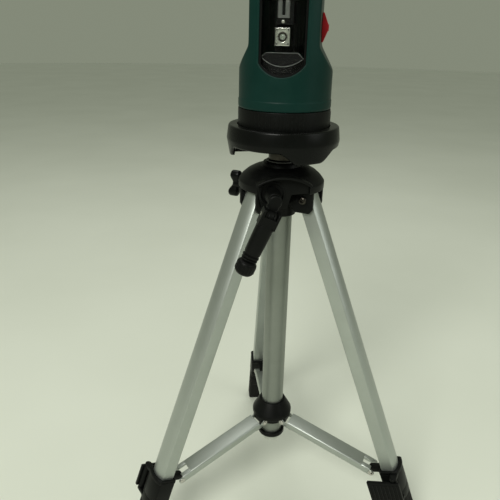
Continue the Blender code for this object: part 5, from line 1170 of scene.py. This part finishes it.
def window_outline(shrink, count=28):
    half = WINDOW_HALF - shrink
    across = [-half + 2 * half * i / count for i in range(count + 1)]
    low, high = ([(x, window_edges(x, shrink)[end]) for x in across] for end in (0, 1))
    rise = [(half, WINDOW_SPRING + (WINDOW_TOP_SPRING - WINDOW_SPRING) * i / 12) for i in range(1, 12)]
    fall = [(-x, z) for x, z in reversed(rise)]
    return [*low, *rise, *reversed(high), *fall]


def carve(mesh, cutter):
    """The mesh with another closed mesh taken out of it."""
    mat = mesh.materials[0]
    first, second = shown("carved", mesh), shown("cutter", cutter)
    change = first.modifiers.new("carve", "BOOLEAN")
    change.operation = "DIFFERENCE"
    change.solver = "EXACT"
    change.object = second
    bm = as_built(first)
    for obj, data in ((first, mesh), (second, cutter)):
        bpy.data.objects.remove(obj)
        bpy.data.meshes.remove(data)
    bmesh.ops.remove_doubles(bm, verts=bm.verts, dist=1e-6)
    return finished("carved", bm, mat)


def dress_casing():
    near, far = 20.0 * MM, 60.0 * MM
    cutter = slab([window_outline(0.0)], near, far, GREEN, None, FACING_Y, 0.0)
    front = carve(casing_half(1), cutter)
    path = []
    for x, z in window_outline(-0.35 * MM):
        radius = casing_radius(-math.pi / 2 + math.atan2(x, 40 * MM), z) - 0.42 * MM
        path.append((x, -math.sqrt(radius * radius - x * x), z))
    rim = pipe(path, 0.75 * MM, GREEN, None, 12)
    for mesh in (front, rim):
        mesh.transform(HEAD_PLACE)
    piece("front_casing", [front, rim], "head", ["head_front_shell"])
    door = brick((-DOOR_HALF, near, DOOR_LOW), (DOOR_HALF, far, DOOR_HIGH), GREEN, None, 2.0 * MM, 4)
    slot = brick(*mm([(20.0, 1.5, 540.7), (60.0, 6.5, 557.3)]), GREEN, None, 0.8 * MM)
    rear = carve(carve(casing_half(-1), door), slot)
    rear.transform(HEAD_PLACE)
    piece("rear_casing", [rear], "head", ["head_rear_shell"])
    dress_cover()
    dress_cap()


def dress_cover():
    """The battery door: a bent panel with rounded corners and a ribbed finger grip."""
    half, low, high, soft = DOOR_HALF - GAP, DOOR_LOW + GAP, DOOR_HIGH - GAP, 1.9 * MM
    middle, roll = (low + high) / 2, 0.5 * MM
    wide, tall = 48, 24
    bm = bmesh.new()

    def spot(i, k, lift, sink):
        """A point of a sheet bent about the axis; the corners are rounded and the rim sinks."""
        u, v = -half + 2 * half * k / wide, low + (high - low) * i / tall
        dx, dz = max(0.0, abs(u) - half + soft), max(0.0, abs(v - middle) - (high - low) / 2 + soft)
        out = math.hypot(dx, dz)
        if out > soft:
            u -= math.copysign(dx * (1 - soft / out), u)
            v -= math.copysign(dz * (1 - soft / out), v - middle)
            out = soft
        edge = max(0.0, out - soft + roll) / roll
        radius = lift - sink * edge * edge
        return bm.verts.new((u, math.sqrt(radius * radius - u * u), v))

    sheets = []
    for lift, sink in ((DRUM_TOP_RADIUS, 0.25 * MM), (DRUM_TOP_RADIUS - SHELL_WALL, 0.0)):
        sheets.append([[spot(i, k, lift, sink) for k in range(wide + 1)] for i in range(tall + 1)])
    close_panel(bm, *sheets)
    parts = [finished("cover", bm, GREEN, HEAD_PLACE)]
    turns = (math.radians(80.0), math.radians(20.0))
    parts.append(upright_ribs(15, 43.45, turns, mm([503.2, 506.6]), 0.38, GREEN, HEAD_PLACE))
    piece("battery_door", parts, "cover", ["battery_cover"])


def dress_cap():
    base, roll = SHELL_TOP + GAP, 6.0 * MM
    foot = base + 0.6 * MM
    rows = [(0.5 * MM, base), (0.0, base + 0.5 * MM)]
    for i in range(9):
        a = math.pi / 2 * i / 8
        rows.append((roll * (1 - math.cos(a)), foot + (CAP_TOP - foot) * math.sin(a)))
    rings = []
    for inset, z in rows:
        spots = [(t, casing_radius(t, SHELL_TOP, inset)) for t in full_turn(160)]
        rings.append([(r * math.cos(t), r * math.sin(t), z) for t, r in spots])
    crown = [(x * 0.5, y * 0.5, CAP_TOP) for x, y, _ in rings[-1]]
    cap = loft([*rings, crown], GREEN, HEAD_PLACE)
    piece("crown_cap", [cap], "head", ["top_cap"])


def dress_turntable():
    ring = [(44.2, 475.2), (44.2, 453.0), (5.0, 453.0), (5.0, 456.0), (41.2, 456.0), (41.2, 475.2)]
    parts = [turned_ring(ring, [0.7, 0.9, 0.2, 0.2, 0.3, 0.3], BLACK, HEAD_PLACE, 144)]
    for start in (-120.0, 0.0, 120.0):
        turns = (math.radians(start), math.radians(60.0))
        parts.append(upright_ribs(13, 43.95, turns, mm([460.6, 472.6]), 0.62, BLACK, HEAD_PLACE))
    piece("ribbed_turntable", parts, "head", ["turntable"])


def dress_switch():
    rocker = [(31.3, 533.5), (32.5, 533.5), (37.1, 544.6), (37.1, 547.4), (32.5, 558.5), (31.3, 558.5)]
    rocker = rounded(mm(rocker), mm([0.3, 0.6, 1.6, 1.6, 0.6, 0.3]))
    parts = [slab([rocker], -10.0 * MM, 2.0 * MM, RED, HEAD_PLACE, FACING_Y, 0.28 * MM, steps=3)]
    parts.append(brick(*mm([(27.0, 1.8, 541.0), (32.0, 6.2, 551.0)]), RED, HEAD_PLACE))
    first, last = mm([(36.8, -0.4, 543.8), (36.8, 8.4, 543.8)])
    ribs = {"Count": 3, "Step": (0.0, 0.0, 2.2 * MM), "Rib Start": first, "Rib End": last}
    parts.append(grown(RIBS_IN_LINE, {**ribs, "Rib Radius": 0.5 * MM}, RED, HEAD_PLACE))
    piece("slide_switch", parts, "switch", ["power_switch"])


def dress_window():
    """The dark tunnel behind the window, its sloping sill with a thin pale bead on its edges as a painted
    highlight, and the bent pane.
    """
    outer, inner = window_outline(0.3 * MM), window_outline(2.3 * MM)

    def bent(points, radius):
        return [(x, -math.sqrt(max(1e-9, radius * radius - x * x)), z) for x, z in points]

    def flat(points, y):
        return [(x, y, z) for x, z in points]

    front, back = 42.6 * MM, -31.0 * MM
    rings = [bent(outer, front), bent(inner, front - 0.3 * MM), flat(inner, back), flat(outer, back)]
    parts = [loft(rings, INSIDE, HEAD_PLACE, True)]
    edge, steps, top = 38.4 * MM, 24, 524.6 * MM
    sill = []
    for i in range(steps + 1):
        x = -19.0 * MM + 37.0 * MM * i / steps
        y = -math.sqrt(edge * edge - x * x)
        sill.append((x, y, min(top + (y - back) * 1.45, top)))
    rear = mm([(13.2, -30.6, 524.8), (-15.2, -30.6, 524.8)])
    under = [(x, y, z - 14.0 * MM) for x, y, z in sill] + [(x, y, z - 20.0 * MM) for x, y, z in rear]
    parts.append(loft([under, [*sill, *rear]], INSIDE, HEAD_PLACE))
    # Painted highlight: the pale bead along the sill's edges.
    parts.append(pipe([*sill, *rear], 0.28 * MM, PAINTED_HIGHLIGHT_EDGE, HEAD_PLACE, 8))
    piece("window_tunnel", parts, "head", ["window_frame"])
    dress_pane()


def dress_pane():
    columns, levels = 40, 60
    half = WINDOW_HALF - PANE_INSET
    bm = bmesh.new()

    def spot(i, j, radius):
        x = -half + 2 * half * i / columns
        low, high = window_edges(x, PANE_INSET)
        return bm.verts.new((x, -math.sqrt(radius * radius - x * x), low + (high - low) * j / levels))

    sheets = []
    for radius in PANE_RADII:
        sheets.append([[spot(i, j, radius) for i in range(columns + 1)] for j in range(levels + 1)])
    close_panel(bm, *sheets)
    pane = finished("pane", bm, PANE, HEAD_PLACE)
    piece("bent_pane", [pane], "head", ["window_pane"])


def dress_pendulum():
    """The swinging carrier behind the window, its bracket strips, and the laser module with its lens."""
    shifted = HEAD_PLACE @ Matrix.Translation((-1.2 * MM, 0, 0))
    plate = rounded(mm([(-6.4, 530.5), (6.4, 530.5), (6.4, 545.1), (-6.4, 545.1)]), 0.7 * MM)
    hole = arc((0.0, LASER_HEIGHT), 4.2 * MM, 0, 350, 35)
    aim = shifted @ Matrix.Translation((0, 0, LASER_HEIGHT)) @ ABOUT_X
    barrel = [(2.4, 30.2), (3.9, 30.2), (3.9, 28.0), (2.4, 28.0)]
    glass = mm([(0.0, 29.7), (1.2, 29.55), (2.4, 29.0), (2.4, 28.5), (0.0, 28.5)])
    corners = [(x * MM, -30.45 * MM, z * MM) for z in (532.0, 543.6) for x in (-5.0, 5.0)]
    ahead = (0.0, -1.0, 0.0)
    parts = [
        slab([plate, hole], 28.4 * MM, 30.5 * MM, SILVER, shifted, FACING_Y, 0.35 * MM),
        brick(*mm([(-6.2, -28.6, 530.7), (6.2, -18.8, 544.9)]), SILVER, shifted, 0.4 * MM),
        turned_ring(barrel, [0.3] * 4, SHADE_DARKENED_STEEL, aim, 40),
        turned(glass, LENS, aim, 32),
        rivets([(corner, ahead) for corner in corners], 0.75, 0.35, ZINC, shifted)
    ]
    piece("laser_emitter", parts, "pendulum", ["laser_module"])
    strips = [(-4.7, 552.8), (5.3, 552.8), (5.3, 566.6), (1.6, 566.6), (1.6, 555.0), (-1.2, 555.0)]
    strips = rounded(mm([*strips, (-1.2, 566.6), (-4.7, 566.6)]), 0.5 * MM)
    screw = [((-0.1 * MM, -28.1 * MM, 550.0 * MM), ahead)]
    parts = [
        slab([strips], 28.2 * MM, 29.3 * MM, PALE_STRIP, shifted, FACING_Y, 0.25 * MM),
        rivets(screw, 1.5, 0.8, STEEL, shifted)
    ]
    piece("carrier_bracket", parts, "pendulum")


def finish_cad_nodes():
    """Finishes for the CAD solids that stay as they are."""
    stays = {
        "column_tube": RAW_ALUMINIUM, "gear_rack": STEEL, "mounting_stud": STEEL, "crank_shaft": STEEL,
        "crank_pinion": STEEL, "lock_screw": STEEL, "swivel_spindle": STEEL, "pendulum_yoke": INSIDE,
        "gimbal_block": STEEL, "pendulum": INSIDE, "circuit_board": BOARD, "battery_pack": CELL
    }
    for name in LEGS:
        stays[f"leg_knuckle_{name}"] = BLACK
    for name, mat in stays.items():
        mesh = NODES[name].data
        mesh.materials.clear()
        mesh.materials.append(mat)


# Floor, light and camera

FAR_COLOUR = (0.229, 0.252, 0.190, 1.0)
ROOM_COLOUR = (0.50, 0.53, 0.46, 1.0)
ROOM_STRENGTH = 0.62
FLOOR_COLOURS = ((0.66, 0.69, 0.59), (0.70, 0.73, 0.63))
FLOOR_RADIUS = 9.0
CAMERA_PLACE = (-0.0703, -0.5198, 0.5429)
CAMERA_TURN = (4.4, 22.5, -1.1)  # yaw, pitch and roll in degrees
FOCAL_LENGTH = 531.4  # in pixels of a picture PICTURE_WIDTH wide
PICTURE_WIDTH = 500.0
SENSOR_WIDTH = 36.0


def make_stage():
    scene = bpy.context.scene
    scene.view_settings.view_transform = "Standard"
    bm = bmesh.new()
    bmesh.ops.create_circle(bm, cap_ends=True, segments=128, radius=FLOOR_RADIUS)
    floor_mesh = bpy.data.meshes.new("floor")
    bm.to_mesh(floor_mesh)
    bm.free()
    floor = shown("floor", floor_mesh)
    mat, tree, shader = blank_material("pale_floor")
    place = node(tree, "ShaderNodeTexCoord").outputs["Object"]
    cloud = node(tree, "ShaderNodeTexNoise", {"Vector": place, "Scale": 2.5, "Detail": 3.0})
    share = spread(tree, cloud.outputs["Fac"], 0.0, 1.0)
    base = mix_colour(tree, share, *FLOOR_COLOURS)
    tree.links.new(base, shader.inputs["Base Color"])
    shader.inputs["Roughness"].default_value = 0.6
    shader.inputs["Specular IOR Level"].default_value = 0.2
    floor_mesh.materials.append(mat)
    world = bpy.data.worlds.new("pale_room")
    scene.world = world
    world.use_nodes = True
    tree = world.node_tree
    room = tree.nodes["Background"]
    room.inputs["Color"].default_value = ROOM_COLOUR
    room.inputs["Strength"].default_value = ROOM_STRENGTH
    seen = node(tree, "ShaderNodeBackground", {"Color": FAR_COLOUR, "Strength": 1.0})
    path = node(tree, "ShaderNodeLightPath")
    direct = path.outputs["Is Camera Ray"]
    for ray in ("Is Glossy Ray", "Is Transmission Ray"):
        either = {0: direct, 1: path.outputs[ray]}
        direct = node(tree, "ShaderNodeMath", either, operation="MAXIMUM").outputs[0]
    mix = node(tree, "ShaderNodeMixShader", {0: direct})
    tree.links.new(room.outputs[0], mix.inputs[1])
    tree.links.new(seen.outputs[0], mix.inputs[2])
    tree.links.new(mix.outputs[0], tree.nodes["World Output"].inputs["Surface"])
    lamp("key", (-0.9, -1.5, 1.8), (0, 0, 0.35), 0.9, 34.0, (1.0, 1.0, 0.95))
    lamp("fill", (1.6, -0.9, 1.1), (0, 0, 0.35), 1.2, 6.0, (0.97, 1.0, 0.97))
    lamp("top", (0.0, 0.6, 2.1), (0, 0, 0.3), 1.4, 12.0, (1.0, 1.0, 0.97))


def lamp(name, at, to, size, power, colour):
    data = bpy.data.lights.new(name, "AREA")
    data.shape = "DISK"
    data.size = size
    data.energy = power
    data.color = colour
    obj = shown(name, data)
    obj.location = at
    obj.rotation_euler = (Vector(to) - Vector(at)).to_track_quat("-Z", "Y").to_euler()


def make_camera():
    yaw, pitch, roll = (math.radians(a) for a in CAMERA_TURN)
    ahead = Vector((math.sin(yaw) * math.cos(pitch), math.cos(yaw) * math.cos(pitch), -math.sin(pitch)))
    right = ahead.cross(Vector((0, 0, 1))).normalized()
    down = ahead.cross(right)
    across = math.cos(roll) * right + math.sin(roll) * down
    below = -math.sin(roll) * right + math.cos(roll) * down
    data = bpy.data.cameras.new("camera")
    data.sensor_width = SENSOR_WIDTH
    data.lens = SENSOR_WIDTH * FOCAL_LENGTH / PICTURE_WIDTH
    data.clip_start = 0.01
    camera = shown("camera", data)
    turn = Matrix((across, -below, -ahead)).transposed().to_4x4()
    camera.matrix_world = Matrix.Translation(CAMERA_PLACE) @ turn
    bpy.context.scene.camera = camera


make_stage()
make_camera()
for leg_name in LEGS:
    dress_leg(leg_name)
    dress_brace(leg_name)
dress_hub()
dress_column()
dress_dish()
dress_shoulder()
dress_crank()
dress_lock()
dress_casing()
dress_turntable()
dress_switch()
dress_window()
dress_pendulum()
finish_cad_nodes()
bpy.context.view_layer.update()
